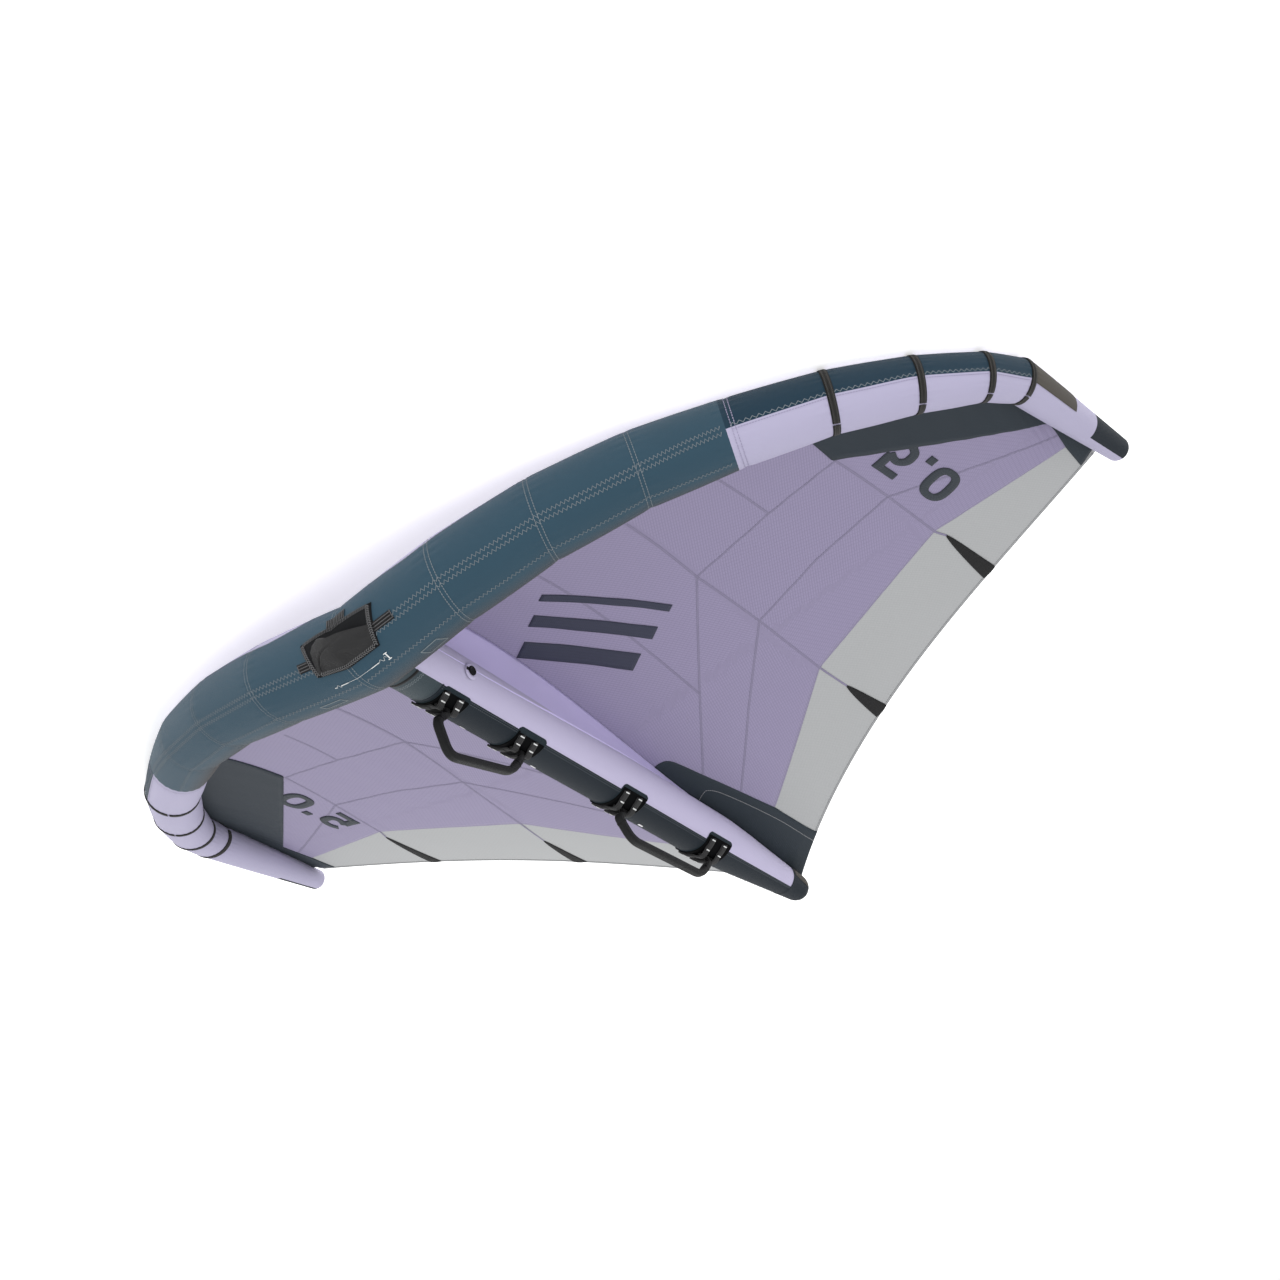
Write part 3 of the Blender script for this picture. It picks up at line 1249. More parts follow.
def make_patches():
    """Dark reinforcements at the tips and over the strut's tail, with their stitching."""
    parts = Parts()
    front = EDGE_POINTS[(EDGE_PLACES > TIP_PATCH_START) & (EDGE_PLACES < TIP_PATCH_END)][:, :2]
    between(parts, front, [front[0], TIP_PATCH_CORNER, front[-1]], PATCH_LIFT, rows=120)
    tip = EDGE_POINTS[EDGE_POINTS[:, 0] > TIP_STRIP[0][0]][:, :2]
    between(parts, TIP_STRIP, tip, PRINT_LIFT, rows=24, columns=8)
    outline = np.vstack([REAR_PATCH[:1], smooth_path(REAR_PATCH[1:5], 24), REAR_PATCH[5:]])
    outline = path_at(outline, np.linspace(0, run_lengths(outline)[-1], 110))
    limit = trailing_edge(outline[:, 0])[:, 1]
    last = REAR_PATCH[-1][0]
    outline = outline[outline[:, 1] < limit - REAR_PATCH_STOP]
    outline = np.vstack([outline, [last, float(trailing_edge(last)[1])]])
    middle = np.linspace(REAR_PATCH[0][1], float(trailing_edge(0.0)[1]), len(outline))
    centre = stacked(np.full(len(outline), 0.001), middle)
    share = np.linspace(0, 1, 16)[None, :, None]
    flat = (1 - share) * centre[:, None] + share * outline[:, None]
    for side, _ in SIDES:
        turned = flipped(flat, side)
        parts.add(sail_surface(turned, np.full(flat.shape[:-1], PRINT_LIFT)), sail_uvs(turned))
        row = flipped(smooth_path(REAR_STITCH, 50), side)
        stitches(parts, sail_surface, row, 1, lift=PRINT_LIFT + 0.0006)
    parts.piece("canopy_patches", ["patch", "grey_thread"], slot="dark_sleeve", wall=PATCH_WALL)


def make_darts():
    """Batten pockets on the trailing edge: narrow, slightly convex triangles, raised in the middle."""
    for side, name in SIDES:
        for number, (tip, base) in enumerate(DARTS, 1):
            parts = Parts()
            tip, base = np.array(tip), np.array(base)
            base[1] = float(trailing_edge(base[0])[1])
            share = np.linspace(0, 1, 26)[:, None, None]
            middle = tip + (base - tip) * share
            run = unit(base - tip)
            half = DART_HALF_WIDTH * (0.02 + 0.98 * share) ** DART_POWER
            columns = np.linspace(-1, 1, 9)[None, :, None]
            flat = middle + columns * half * np.array([-run[1], run[0]])
            lifts = PRINT_LIFT + DART_RISE * np.minimum(1, 6 * share[..., 0]) * (1 - columns[..., 0] ** 4)
            turned = flipped(flat, side)
            parts.add(sail_surface(turned, lifts), turned)
            node = f"batten_{name}_{number}"
            parts.piece(f"{node}_pocket", ["webbing"], slot="black_webbing", nodes=[node], wall=DART_WALL)


def make_hem():
    """The folded hem of the trailing edge, with a row of stitches."""
    parts = Parts()
    across = np.linspace(-HEM_REACH, HEM_REACH, 260)
    path = trailing_edge(np.abs(across))[:, :2]
    path[:, 0] = across
    path[:, 1] -= HEM_WIDTH / 2
    ribbon(parts, sail_surface, path, HEM_WIDTH, PRINT_LIFT - 0.0002, 0, step=None)
    stitches(parts, sail_surface, path, 1, lift=PRINT_LIFT + 0.0002)
    parts.piece("trailing_edge_hem", ["hem", "grey_thread"], slot="grey_ripstop", wall=HEM_WALL)


# Plain figures and bars printed on the canopy
GLYPH_STRETCH = 1.65
GLYPH_STROKE = 0.0205
FIVE_HEIGHT = 0.117
FIVE_WIDTH = 0.060
ZERO_SIZE = (0.0715, 0.107)
ZERO_START = 0.112
ZERO_DROP = -0.002
DOT_START = 0.080
DOT_SIZE = (0.019, 0.024)
ZERO_ROUNDNESS = 2.6
RIGHT_FIGURES = ((1.213, 0.873), (0.108, 0.994), (-1.0, 0.02))
LEFT_FIGURES = ((1.213, 1.168), (-0.050, -0.998), (-1.0, 0.0))
INK_LIFT = PRINT_LIFT - 0.0001
INK_WALL = 0.0028


def figure_strokes():
    """Centre lines of a five, a point and a nought, in reading direction and up."""
    stroke, width, height = GLYPH_STROKE, FIVE_WIDTH, FIVE_HEIGHT
    left, right, top = stroke / 2, width - stroke / 2, height - stroke / 2
    yield np.array([(width, top), (0, top)]), stroke
    yield np.array([(left, height), (left - 0.001, height * 0.50)]), stroke
    bowl = [
        (left - 0.004, 0.057), (0.022, 0.0665), (0.036, 0.0675), (right - 0.002, 0.055),
        (right, 0.038), (right - 0.004, 0.021), (0.030, 0.0105), (0.014, 0.0120), (0.002, 0.0215),
    ]
    yield smooth_path(bowl, 64), stroke
    low = DOT_SIZE[1] / 2
    yield np.array([(DOT_START, low), (DOT_START + DOT_SIZE[0], low)]), DOT_SIZE[1]
    turn = np.linspace(0, 2 * pi, 73)
    reach = [(size - stroke) / 2 for size in ZERO_SIZE]
    ring = stacked(np.cos(turn), np.sin(turn))
    ring = np.sign(ring) * np.abs(ring) ** (2 / ZERO_ROUNDNESS) * np.array(reach)
    yield ring + np.array([ZERO_START + ZERO_SIZE[0] / 2, ZERO_DROP + ZERO_SIZE[1] / 2]), stroke


def figure_surface(origin, reading, up, side):
    """The canopy as a page: the first coordinate runs along the reading direction, the second up."""
    origin, reading, up = np.array(origin), np.array(reading) * GLYPH_STRETCH, np.array(up)

    def surface(flat, lift):
        return sail_surface(flipped(origin + flat[..., :1] * reading + flat[..., 1:] * up, side), lift)

    return surface


def make_figures():
    """The size figures of both sides, printed so that they read from the flight's top side."""
    parts = Parts()
    for side, placed in ((-1, RIGHT_FIGURES), (1, LEFT_FIGURES)):
        surface = figure_surface(*placed, side)
        for path, width in figure_strokes():
            ribbon(parts, surface, path, width, INK_LIFT, step=0.004, columns=4)
    parts.piece("canopy_figures", ["print"], slot="dark_sleeve", wall=INK_WALL)


BARS = (
    ((0.075, 0.560), (0.245, 0.885), 0.060),
    ((0.165, 0.500), (0.345, 0.845), 0.042),
    ((0.240, 0.450), (0.430, 0.810), 0.024),
)


def make_bars():
    """Three plain slanted bars on the right half of the canopy."""
    parts = Parts()
    for first, last, width in BARS:
        path = flipped(np.array((first, last)), -1)
        ribbon(parts, sail_surface, path, width, INK_LIFT, columns=6)
    parts.piece("canopy_bars", ["bar"], slot="dark_sleeve", wall=INK_WALL)


# Trim of the strut
TAGS = ((0.426, 40), (0.715, 34), (1.206, 25.5))
TAG_SIZE = (0.022, 0.011)
TAG_SLANT = 0.003
TAG_LIFT = 0.0008
SEAM_ROW_ANGLES = (3, 7)
COPE_PLACE = 0.08
COPE_GAP = 0.001
COPE_WIDTH = 0.010
COPE_CROWN = 0.0026
COLLAR_BINDING_SHIFT = 0.027
COLLAR_BINDING_WIDTH = 0.009
COLLAR_BINDING_CROWN = 0.0012
COLLAR_ROW_SHIFTS = (0.016, 0.022)
COLLAR_ZIGZAG = {"pitch": 0.0090, "reach": 0.0020, "width": 0.0016}
COLLAR_SEAM_WIDTH = 0.006
COLLAR_SEAM_CROWN = 0.0008
COLLAR_STITCH_SHIFT = 0.008


def cope(angle):
    """Where the strut's wall meets the back of the leading edge at this angle."""
    height = strut_axis(COPE_PLACE) + STRUT_RADIUS * np.cos(angle)
    return np.sqrt(EDGE_RADIUS ** 2 - height ** 2)


def make_strut_trim():
    """Stitches along the strut, the collar's edges and bindings, and plain white tags."""
    parts = Parts()
    left, right = np.degrees(LEFT_PANEL_ANGLE), -np.degrees(LOWER_PANEL_ANGLE)
    ys = np.linspace(COLLAR_END, STRUT_LENGTH - TAIL_CAP_LENGTH, 80)
    for degrees in [left - row for row in SEAM_ROW_ANGLES] + [right + row for row in SEAM_ROW_ANGLES]:
        stitches(parts, strut_surface, strut_flat(ys, np.full(len(ys), degrees)))
    turn = np.radians(np.linspace(-80, 80, 60))
    seam = stacked(cope(turn) + COPE_GAP, turn * STRUT_RADIUS)
    ribbon(parts, strut_surface, seam, COPE_WIDTH, slot=1, crown=COPE_CROWN)
    turn = np.linspace(-LOWER_PANEL_ANGLE, LEFT_PANEL_ANGLE, 40)
    seam = stacked(cope(turn) + COLLAR_BINDING_SHIFT, turn * STRUT_RADIUS)
    ribbon(parts, strut_surface, seam, COLLAR_BINDING_WIDTH, slot=3, crown=COLLAR_BINDING_CROWN)
    for shift in COLLAR_ROW_SHIFTS:
        zigzag_row(parts, strut_surface, seam + np.array([shift, 0]), 4, **COLLAR_ZIGZAG)
    edge = strut_flat(np.full(30, COLLAR_END), np.linspace(right - 1, left + 1, 30))
    ribbon(parts, strut_surface, edge, COLLAR_SEAM_WIDTH, slot=1, crown=COLLAR_SEAM_CROWN)
    stitches(parts, strut_surface, edge - np.array([COLLAR_STITCH_SHIFT, 0]))
    half = np.array(TAG_SIZE) / 2
    for along, degrees in TAGS:
        centre = strut_flat(along, degrees)
        corners = [centre + half * np.array(sign) + (TAG_SLANT * sign[1], 0) for sign in SQUARE_SIGNS]
        quad_patch(parts, strut_surface, corners, TAG_LIFT, 2, 6, 6)
    parts.piece("strut_trim", ["strut_thread", "dark", "tag", "grip", "outline"], slot="dark_sleeve")


# Handle pads and straps
PAD_LEFT_REACH = radians(13)
PAD_CORNER = 0.014
PAD_RIM = 0.0032
PAD_CLOTH_WALL = 0.0020
PLATE_RIM = 0.0022
PLATE_CORNER = PAD_CORNER / 3
LIP_INSET = 0.005
LIP_WIDTH = 0.006
LIP_CROWN = 0.0016
PLATE_INSETS = ((0.003, 0.012), (0.003, 0.017), (0.003, 0.010), (0.003, 0.010))
STRAP_WIDTH = 0.020
STRAP_SPACINGS = (0.055, 0.055, 0.061, 0.061)
STRAP_BOWS = (0.0135, 0.0125, 0.0090, 0.0095)
STRAP_LEFT_END = radians(53)
STRAP_WALL = 0.0024
STRAP_ANGLES = (radians(28), radians(29), radians(38), radians(43))
STRAP_LOOP_ANGLES = (radians(9), radians(9), radians(15), radians(15))
LOOP_SOFTNESS = 1.45
TACK_SHARES = {-1: (0.93, 0.40), 1: (0.96, 0.74)}
DOUBLED_SHARES = (0.34, 0.99)
DOUBLED_WIDTH_SHARE = 0.94
DOUBLED_LIFT = STRAP_WALL + 0.0014
STRAP_CROWN = 0.0005
STRAP_PIECE_WALL = 0.0022
TACK_REACH_SHARE = 0.38
TACK_WIDTH = 0.0031
TACK_LIFT = STRAP_WALL + 0.0028


def rim_spaced(reach, rim, count):
    """Positions from one edge to the other, close together near both edges."""
    edge = rim * np.sin(np.linspace(0, pi / 2, 6)[:-1]) ** 2
    inner = np.linspace(rim, reach, count)[:-1]
    half = np.r_[edge, inner]
    return np.r_[-reach + half, [0.0], (reach - half)[::-1]]


def padded_shape(reach, corner, rim, height, middle, low=-0.0006):
    """A cushion with rounded corners and a round rim, over flat places of the strut."""
    rows = rim_spaced(reach[0], rim, 14)
    past = np.clip(np.abs(rows) - (reach[0] - corner), 0, corner)
    widths = reach[1] - corner + np.sqrt(corner ** 2 - past ** 2)
    columns = rim_spaced(1.0, rim / reach[1], 22)
    flat = stacked(np.repeat(rows[:, None], len(columns), 1), widths[:, None] * columns)
    inside = np.minimum(reach[0] - np.abs(rows)[:, None], (1 - np.abs(columns))[None, :] * widths[:, None])
    swell = np.sqrt(np.clip(1 - (1 - np.clip(inside / rim, 0, 1)) ** 2, 0, 1))
    return flat + np.array(middle), low + (height - low) * swell


def make_pads():
    """Saddle pads: a cloth base with a bound rim, and a thick black plate in its middle."""
    for number, (start, length) in enumerate(zip(PAD_STARTS, PAD_LENGTHS)):
        parts = Parts()
        middle = start + length / 2
        radius = strut_radius(middle)
        reach = np.array([length / 2, (PAD_ANGLES[number] + PAD_LEFT_REACH / 2) * radius])
        centre = PAD_LEFT_REACH / 2 * radius
        layers = (
            (0, (0, 0), PAD_CLOTH_WALL, PAD_CORNER, PAD_RIM),
            (1, PLATE_INSETS[number], PAD_WALL, PLATE_CORNER, PLATE_RIM),
        )
        for slot, inset, height, corner, rim in layers:
            flat, lifts = padded_shape(reach - np.array(inset), corner, rim, height, (middle, centre))
            parts.add(strut_surface(flat, lifts), flat, slot)
        front, half = middle - reach[0] + LIP_INSET, reach[1] - PAD_CORNER
        lip = np.array([(front, centre - half), (front, centre + half)])
        ribbon(parts, strut_surface, lip, LIP_WIDTH, PAD_WALL, 1, crown=LIP_CROWN, step=0.006)
        node = f"handle_pad_{number + 1}"
        pad = parts.piece(f"{node}_cushion", ["rim", "pad"], slot="dark_sleeve", nodes=[node])


def strap_surface(number):
    """Surface of a strap: on the pad, and arched over the handle's foot bar."""
    loop = STRAP_LOOP_ANGLES[number] * LOOP_SOFTNESS
    base = PAD_WALL + 2 * GAP
    height = 2 * FOOT_BAR_RADIUS + 2 * GAP

    def surface(flat, lift):
        angle = flat[..., 1] / strut_radius(flat[..., 0])
        rise = height * np.cos(pi / 2 * np.clip(angle / loop, -1, 1)) ** 2
        return strut(flat[..., 0], angle, base + rise + lift)

    return surface


def make_straps():
    """Two straps on each pad that bow to the back, doubled at their ends and held by white bar tacks."""
    for number, right_end in enumerate(STRAP_ANGLES):
        parts = Parts()
        surface = strap_surface(number)
        middle = PAD_STARTS[number] + PAD_LENGTHS[number] / 2
        radius = strut_radius(middle)
        ends = {-1: right_end, 1: STRAP_LEFT_END}

        def run(place, side, shares):
            """Flat places along one half of a strap."""
            shares = np.asarray(shares, float)
            return stacked(place - STRAP_BOWS[number] * shares ** 1.5, side * ends[side] * shares * radius)

        for place in (middle - STRAP_SPACINGS[number] / 2, middle + STRAP_SPACINGS[number] / 2):
            right, left = run(place, -1, np.linspace(1, 0, 40)), run(place, 1, np.linspace(0, 1, 40))
            path = np.vstack([right, left[1:]])
            for lift in (0.0, STRAP_WALL - 0.0002):
                ribbon(parts, surface, path, STRAP_WIDTH, lift, crown=STRAP_CROWN, step=None)
            for side, _ in SIDES:
                doubled = run(place, side, np.linspace(*DOUBLED_SHARES, 24))
                width = STRAP_WIDTH * DOUBLED_WIDTH_SHARE
                ribbon(parts, surface, doubled, width, DOUBLED_LIFT, crown=STRAP_CROWN, step=None)
                for share in TACK_SHARES[side]:
                    reach = STRAP_WIDTH * TACK_REACH_SHARE
                    tack = run(place, side, [share]) + np.array([(-reach, 0), (reach, 0)])
                    ribbon(parts, surface, tack, TACK_WIDTH, TACK_LIFT, 1, step=0.004)
        node = f"handle_straps_{number + 1}"
        materials = ["strap", "white"]
        parts.piece(f"{node}_webbing", materials, slot="black_webbing", nodes=[node], wall=STRAP_PIECE_WALL)


# Handle bars
FOOT_BAR_LENGTH = 0.084
LEG_RISES = (0.000, 0.010, 0.020)
BAR_WIDTH = 0.026
BAR_DEPTH = 0.022
BAR_ROUND = 0.008
BEND_LENGTH = 0.032
SECTION_POINTS = 40
BAR_STEP = 0.004
BAR_END_PLACES = (0, 0.004, 0.030)
BAR_END_SCALES = (0.55, 0.70, 1)
CLOSED = 1e-3
ROD_CLOSED = 1e-4
RING_PLACE = 0.052
RING_REACH = 0.004
RING_BULGE = 0.05
RING_LIFT = 0.0004
LEG_SHARES = (0.62, 0.80)
LEG_CORNER = 0.005
UV_SECTION = 0.002
FRONT_CORNERS = ((0, -0.044, 0.050), (0, -0.006, 0.146), (1, -0.054, 0.086))
BACK_CORNERS = ((0, -0.028, 0.034), (0, 0.026, 0.092), (1, -0.060, 0.080))


def foot_point(number):
    """Centre of the foot bar under a pad's straps."""
    middle = PAD_STARTS[number] + PAD_LENGTHS[number] / 2
    return strut(middle, 0.0, PAD_WALL + 2 * GAP + FOOT_BAR_RADIUS)


def rounded_corners(corners, longest, steps):
    """The path through corners with each inner corner rounded by a quadratic curve."""
    corners = [np.array(corner, float) for corner in corners]
    path = [corners[0]]
    for before, corner, after in zip(corners, corners[1:], corners[2:]):
        reach = min(longest, np.linalg.norm(corner - before) / 2, np.linalg.norm(after - corner) / 2)
        start = corner + unit(before - corner) * reach
        end = corner + unit(after - corner) * reach
        t = np.linspace(0, 1, steps)[:, None]
        path += list((1 - t) ** 2 * start + 2 * t * (1 - t) * corner + t * t * end)
    return np.array(path + [corners[-1]])


def rounded_box(width, depth, corner):
    """A rounded rectangle, with a quarter circle at each corner."""
    turn = turns(SECTION_POINTS) + pi / SECTION_POINTS
    ring = stacked(np.cos(turn), np.sin(turn))
    return np.sign(ring) * np.array([width / 2 - corner, depth / 2 - corner]) + corner * ring


def sweep(parts, path, section, scales, slot=0, side=(1.0, 0.0, 0.0)):
    """A section carried along a path that lies in one plane; the scales thin it and close its ends."""
    run = unit(np.gradient(path, axis=0))
    side = np.broadcast_to(np.array(side), run.shape)
    out = unit(np.cross(side, run))
    scales = np.asarray(scales, float)[:, None, None]
    spokes = section[None, :, :1] * side[:, None] + section[None, :, 1:] * out[:, None]
    uvs = stacked(*spread(run_lengths(path), np.arange(len(section)) * UV_SECTION))
    parts.add(path[:, None] + scales * spokes, uvs, slot, closed=True)


def rod(parts, first, last, radius, slot=0, side=(1.0, 0.0, 0.0), rounds=5):
    """A round rod with rounded ends."""
    first, last = np.array(first, float), np.array(last, float)
    turn = turns(20)
    section = radius * stacked(np.cos(turn), np.sin(turn))
    length = np.linalg.norm(last - first)
    lift = np.linspace(0, pi / 2, rounds + 1)[:-1]
    near = radius * (1 - np.cos(lift))
    places = np.r_[near, length / 2, (length - near)[::-1]]
    scales = np.maximum(np.r_[np.sin(lift), 1, np.sin(lift)[::-1]], ROD_CLOSED)
    sweep(parts, first + unit(last - first) * places[:, None], section, scales, slot, side)


def make_handle(name, first, second, corners):
    """A stiff bar in a foam sleeve on two necks, each on a foot bar under the straps."""
    parts = Parts()
    feet = (foot_point(first), foot_point(second))
    axis = unit(feet[1] - feet[0])
    starts, ends = ([foot + np.array([0, 0, rise]) for rise in LEG_RISES[1:]] for foot in feet)
    bends = [feet[which] + np.array([0, back, up]) for which, back, up in corners]
    path = dense(rounded_corners([*starts, *bends, *ends[::-1]], BEND_LENGTH, 14), BAR_STEP)
    runs = run_lengths(path)
    scales = np.interp(np.minimum(runs, runs[-1] - runs), BAR_END_PLACES, BAR_END_SCALES)
    scales[0] = scales[-1] = CLOSED
    sweep(parts, path, rounded_box(BAR_WIDTH, BAR_DEPTH, BAR_ROUND), scales)
    section = rounded_box(BAR_WIDTH + RING_LIFT, BAR_DEPTH + RING_LIFT, BAR_ROUND)
    for place in (RING_PLACE, runs[-1] - RING_PLACE):
        ring = path_at(path, place + np.linspace(-RING_REACH, RING_REACH, 9))
        sweep(parts, ring, section, 1 + RING_BULGE * np.sin(np.linspace(0, pi, 9)), 1)
    section = rounded_box(BAR_WIDTH * LEG_SHARES[0], BAR_DEPTH * LEG_SHARES[1], LEG_CORNER)
    for foot in feet:
        reach = axis * FOOT_BAR_LENGTH / 2
        rod(parts, foot - reach, foot + reach, FOOT_BAR_RADIUS, 1)
        neck = dense(np.array([foot, foot + np.array([0, 0, LEG_RISES[2]])]), 0.002)
        sweep(parts, neck, section, np.ones(len(neck)), 1)
    parts.piece(f"{name}_bar", ["grip", "moulding"], body=name, slot="black_moulding", nodes=[name])


# Carrying grip and leash line
GRIP_LEFT = (0.101, 0.084)
GRIP_RIGHT = (0.124, 0.094)
GRIP_TOP = -88.0
GRIP_TOP_FALL = 8.0
GRIP_BOTTOM = -146.0
GRIP_BOTTOM_RISE = 4.0
GRIP_BASE = 0.0022
GRIP_BULGE = 0.021
GRIP_WEBBING_ANGLE = -125.0
GRIP_WEBBING_WIDTH = 0.024
FREE_EDGE_ACROSS = (-1.0, -0.5, 0.0, 0.4, 0.7, 1.0)
FREE_EDGE_SHARES = (0.53, 0.62, 0.705, 0.775, 0.765, 0.66)
CREASE = ((0.86, 0.18), (0.74, 0.34), (0.50, 0.475), (0.15, 0.545), (-0.30, 0.575), (-0.85, 0.59))
CREASE_DEPTH = 0.0085
CREASE_WIDTH = 0.017
CREASE_ACROSS = 0.9
CREASE_RISE = 0.6
BRAID_PITCH = 0.0112
BEAD_REACH_SHARE = 0.22
BEAD_WIDTH_SHARE = 0.21
BEAD_CROWN_SHARE = 0.10
BRAID_STEP = 0.004
BEAD_SHARES = (0.04, 0.46)


def span_surface(flat, lift):
    """The leading edge near its middle, over places given by X and the distance round the tube."""
    angle = flat[..., 1] / EDGE_RADIUS
    lean = seam_lean(1, angle) / CENTRES[1, 0]
    place = np.copysign(np.interp(np.abs(flat[..., 0]) / (1 - lean), CENTRES[:, 0], SEAMS), flat[..., 0])
    return tube(place, angle, sleeve_offset(place, angle) + lift)


def grip_point(across, share):
    """Flat place on the grip: across from -1 to 1 between its sides, share from 0 at its foot to 1."""
    across, share = np.broadcast_arrays(np.asarray(across, float), np.asarray(share, float))
    left = GRIP_LEFT[1] + (GRIP_LEFT[0] - GRIP_LEFT[1]) * share
    right = GRIP_RIGHT[1] + (GRIP_RIGHT[0] - GRIP_RIGHT[1]) * share
    top = GRIP_TOP - GRIP_TOP_FALL * across ** 2
    bottom = GRIP_BOTTOM + GRIP_BOTTOM_RISE * np.clip(across, 0, 1)
    degrees = bottom + (top - bottom) * share
    return stacked(across * np.where(across > 0, left, right), np.radians(degrees) * EDGE_RADIUS)


def braid(parts, surface, path, width, lift, slot, pitch=BRAID_PITCH):
    """A braided edge: slanted beads in two rows that lean towards each other."""
    path = dense(path, BRAID_STEP)
    total = run_lengths(path)[-1]
    reach = pitch * BEAD_REACH_SHARE
    sizes = {"width": pitch * BEAD_WIDTH_SHARE, "crown": width * BEAD_CROWN_SHARE}
    for row in (-1, 1):
        for start in np.arange(pitch / 2, total - pitch / 2, pitch / 2):
            ends = path_at(path, np.array([start + reach, start - reach]))
            run = unit(ends[0] - ends[1])
            side = np.array([-run[1], run[0]]) * row * width
            bead = np.array([end + side * share for end, share in zip(ends, BEAD_SHARES)])
            ribbon(parts, surface, bead, lift=lift, slot=slot, step=None, **sizes)


def crease_drop(across, share):
    """Depth of the fold in the flap: a groove along a line that bends down to the left."""
    line = smooth_path(CREASE, 60)
    gaps = (across[..., None] - line[:, 0]) * CREASE_ACROSS, (share[..., None] - line[:, 1]) * CREASE_RISE
    gap = np.min(np.hypot(*gaps), axis=-1)
    return CREASE_DEPTH * np.exp(-((gap / CREASE_WIDTH) ** 2)) * np.clip(across + 0.2, 0.15, 1)


GRIP_BAND = ((-0.160, 0.0), (0.128, 0.004))
GRIP_BAND_CROWN = 0.0006
GRIP_BAND_LIFT = 0.0012
RIB_LIFT = 0.0020
RIB_WIDTH = 0.0019
END_RIBS = ((-0.157, -0.104, 0.0), (0.090, 0.125, 0.004))
END_RIB_SHIFTS = (-0.0075, 0.0, 0.0075)
END_RIB_CROWN = 0.0012
CROSS_RIBS = (-0.1585, 0.1265)
CROSS_RIB_REACH = (-0.009, 0.012)
CROSS_RIB_CROWN = 0.0010
TAB_ENDS = (-0.041, 0.018)
TAB_HEIGHT = 0.012
TAB_WIDTH = 0.030
TAB_CROWN = 0.0016
TAB_RIB_START = -0.039
TAB_RIB_PITCH = 0.0055
TAB_RIB_REACH = (-0.002, 0.025)
TAB_RIB_WIDTH = 0.0018
TAB_RIB_LIFT = 0.0026
GRIP_WEBBING_WALL = 0.0008


def strip(parts, start, end, width, lift, slot, crown):
    """A straight strip near the middle of the leading edge."""
    ribbon(parts, span_surface, np.array([start, end]), width, lift, slot, crown=crown)


def make_grip_webbing():
    """Webbing behind the grip, with three ribs at each end and a ribbed tab above."""
    parts = Parts()
    centre = np.radians(GRIP_WEBBING_ANGLE) * EDGE_RADIUS
    start, end = ((place, centre + rise) for place, rise in GRIP_BAND)
    strip(parts, start, end, GRIP_WEBBING_WIDTH, GRIP_BAND_LIFT, 0, GRIP_BAND_CROWN)
    for low, high, rise in END_RIBS:
        for shift in END_RIB_SHIFTS:
            height = centre + shift + rise
            strip(parts, (low, height), (high, height), RIB_WIDTH, RIB_LIFT, 1, END_RIB_CROWN)
    for place in CROSS_RIBS:
        start, end = ((place, centre + reach) for reach in CROSS_RIB_REACH)
        strip(parts, start, end, RIB_WIDTH, RIB_LIFT, 1, CROSS_RIB_CROWN)
    top = np.radians(GRIP_TOP) * EDGE_RADIUS
    start, end = ((place, top + TAB_HEIGHT) for place in TAB_ENDS)
    strip(parts, start, end, TAB_WIDTH, GRIP_BAND_LIFT, 0, TAB_CROWN)
    for place in np.arange(TAB_RIB_START, TAB_ENDS[1], TAB_RIB_PITCH):
        start, end = ((place, top + reach) for reach in TAB_RIB_REACH)
        strip(parts, start, end, TAB_RIB_WIDTH, TAB_RIB_LIFT, 1, CROSS_RIB_CROWN)
    parts.piece(
        "grip_webbing_bands", ["webbing", "fine_rib"], slot="black_webbing", nodes=["grip_webbing"],
        wall=GRIP_WEBBING_WALL,
    )


PATCH_SWELL = 0.0022
PATCH_LOW = 0.0006
PATCH_TOP = GRIP_BASE + 0.0026
BRAID_SIDES = (-0.925, 0.950)
BRAID_SIDE_ENDS = (0.03, 0.97)
BRAID_FOOT = 0.075
BRAID_FOOT_ENDS = (-0.90, 0.93)
BRAID_BED_WIDTH = 0.0125
BRAID_BED_CROWN = 0.0012
BRAID_BED_LIFT = PATCH_TOP - 0.0006
BRAID_LIFT = PATCH_TOP + 0.0008
BRAID_WIDTH = 0.0115
SQUARE_ROWS = (0.905, 0.935, 0.965)
SQUARE_ROW_REACH = 0.93
SQUARES = {"length": 0.0030, "gap": 0.0022, "width": 0.0026, "lift": PATCH_TOP + 0.0010}
GRIP_PATCH_WALL = 0.0006


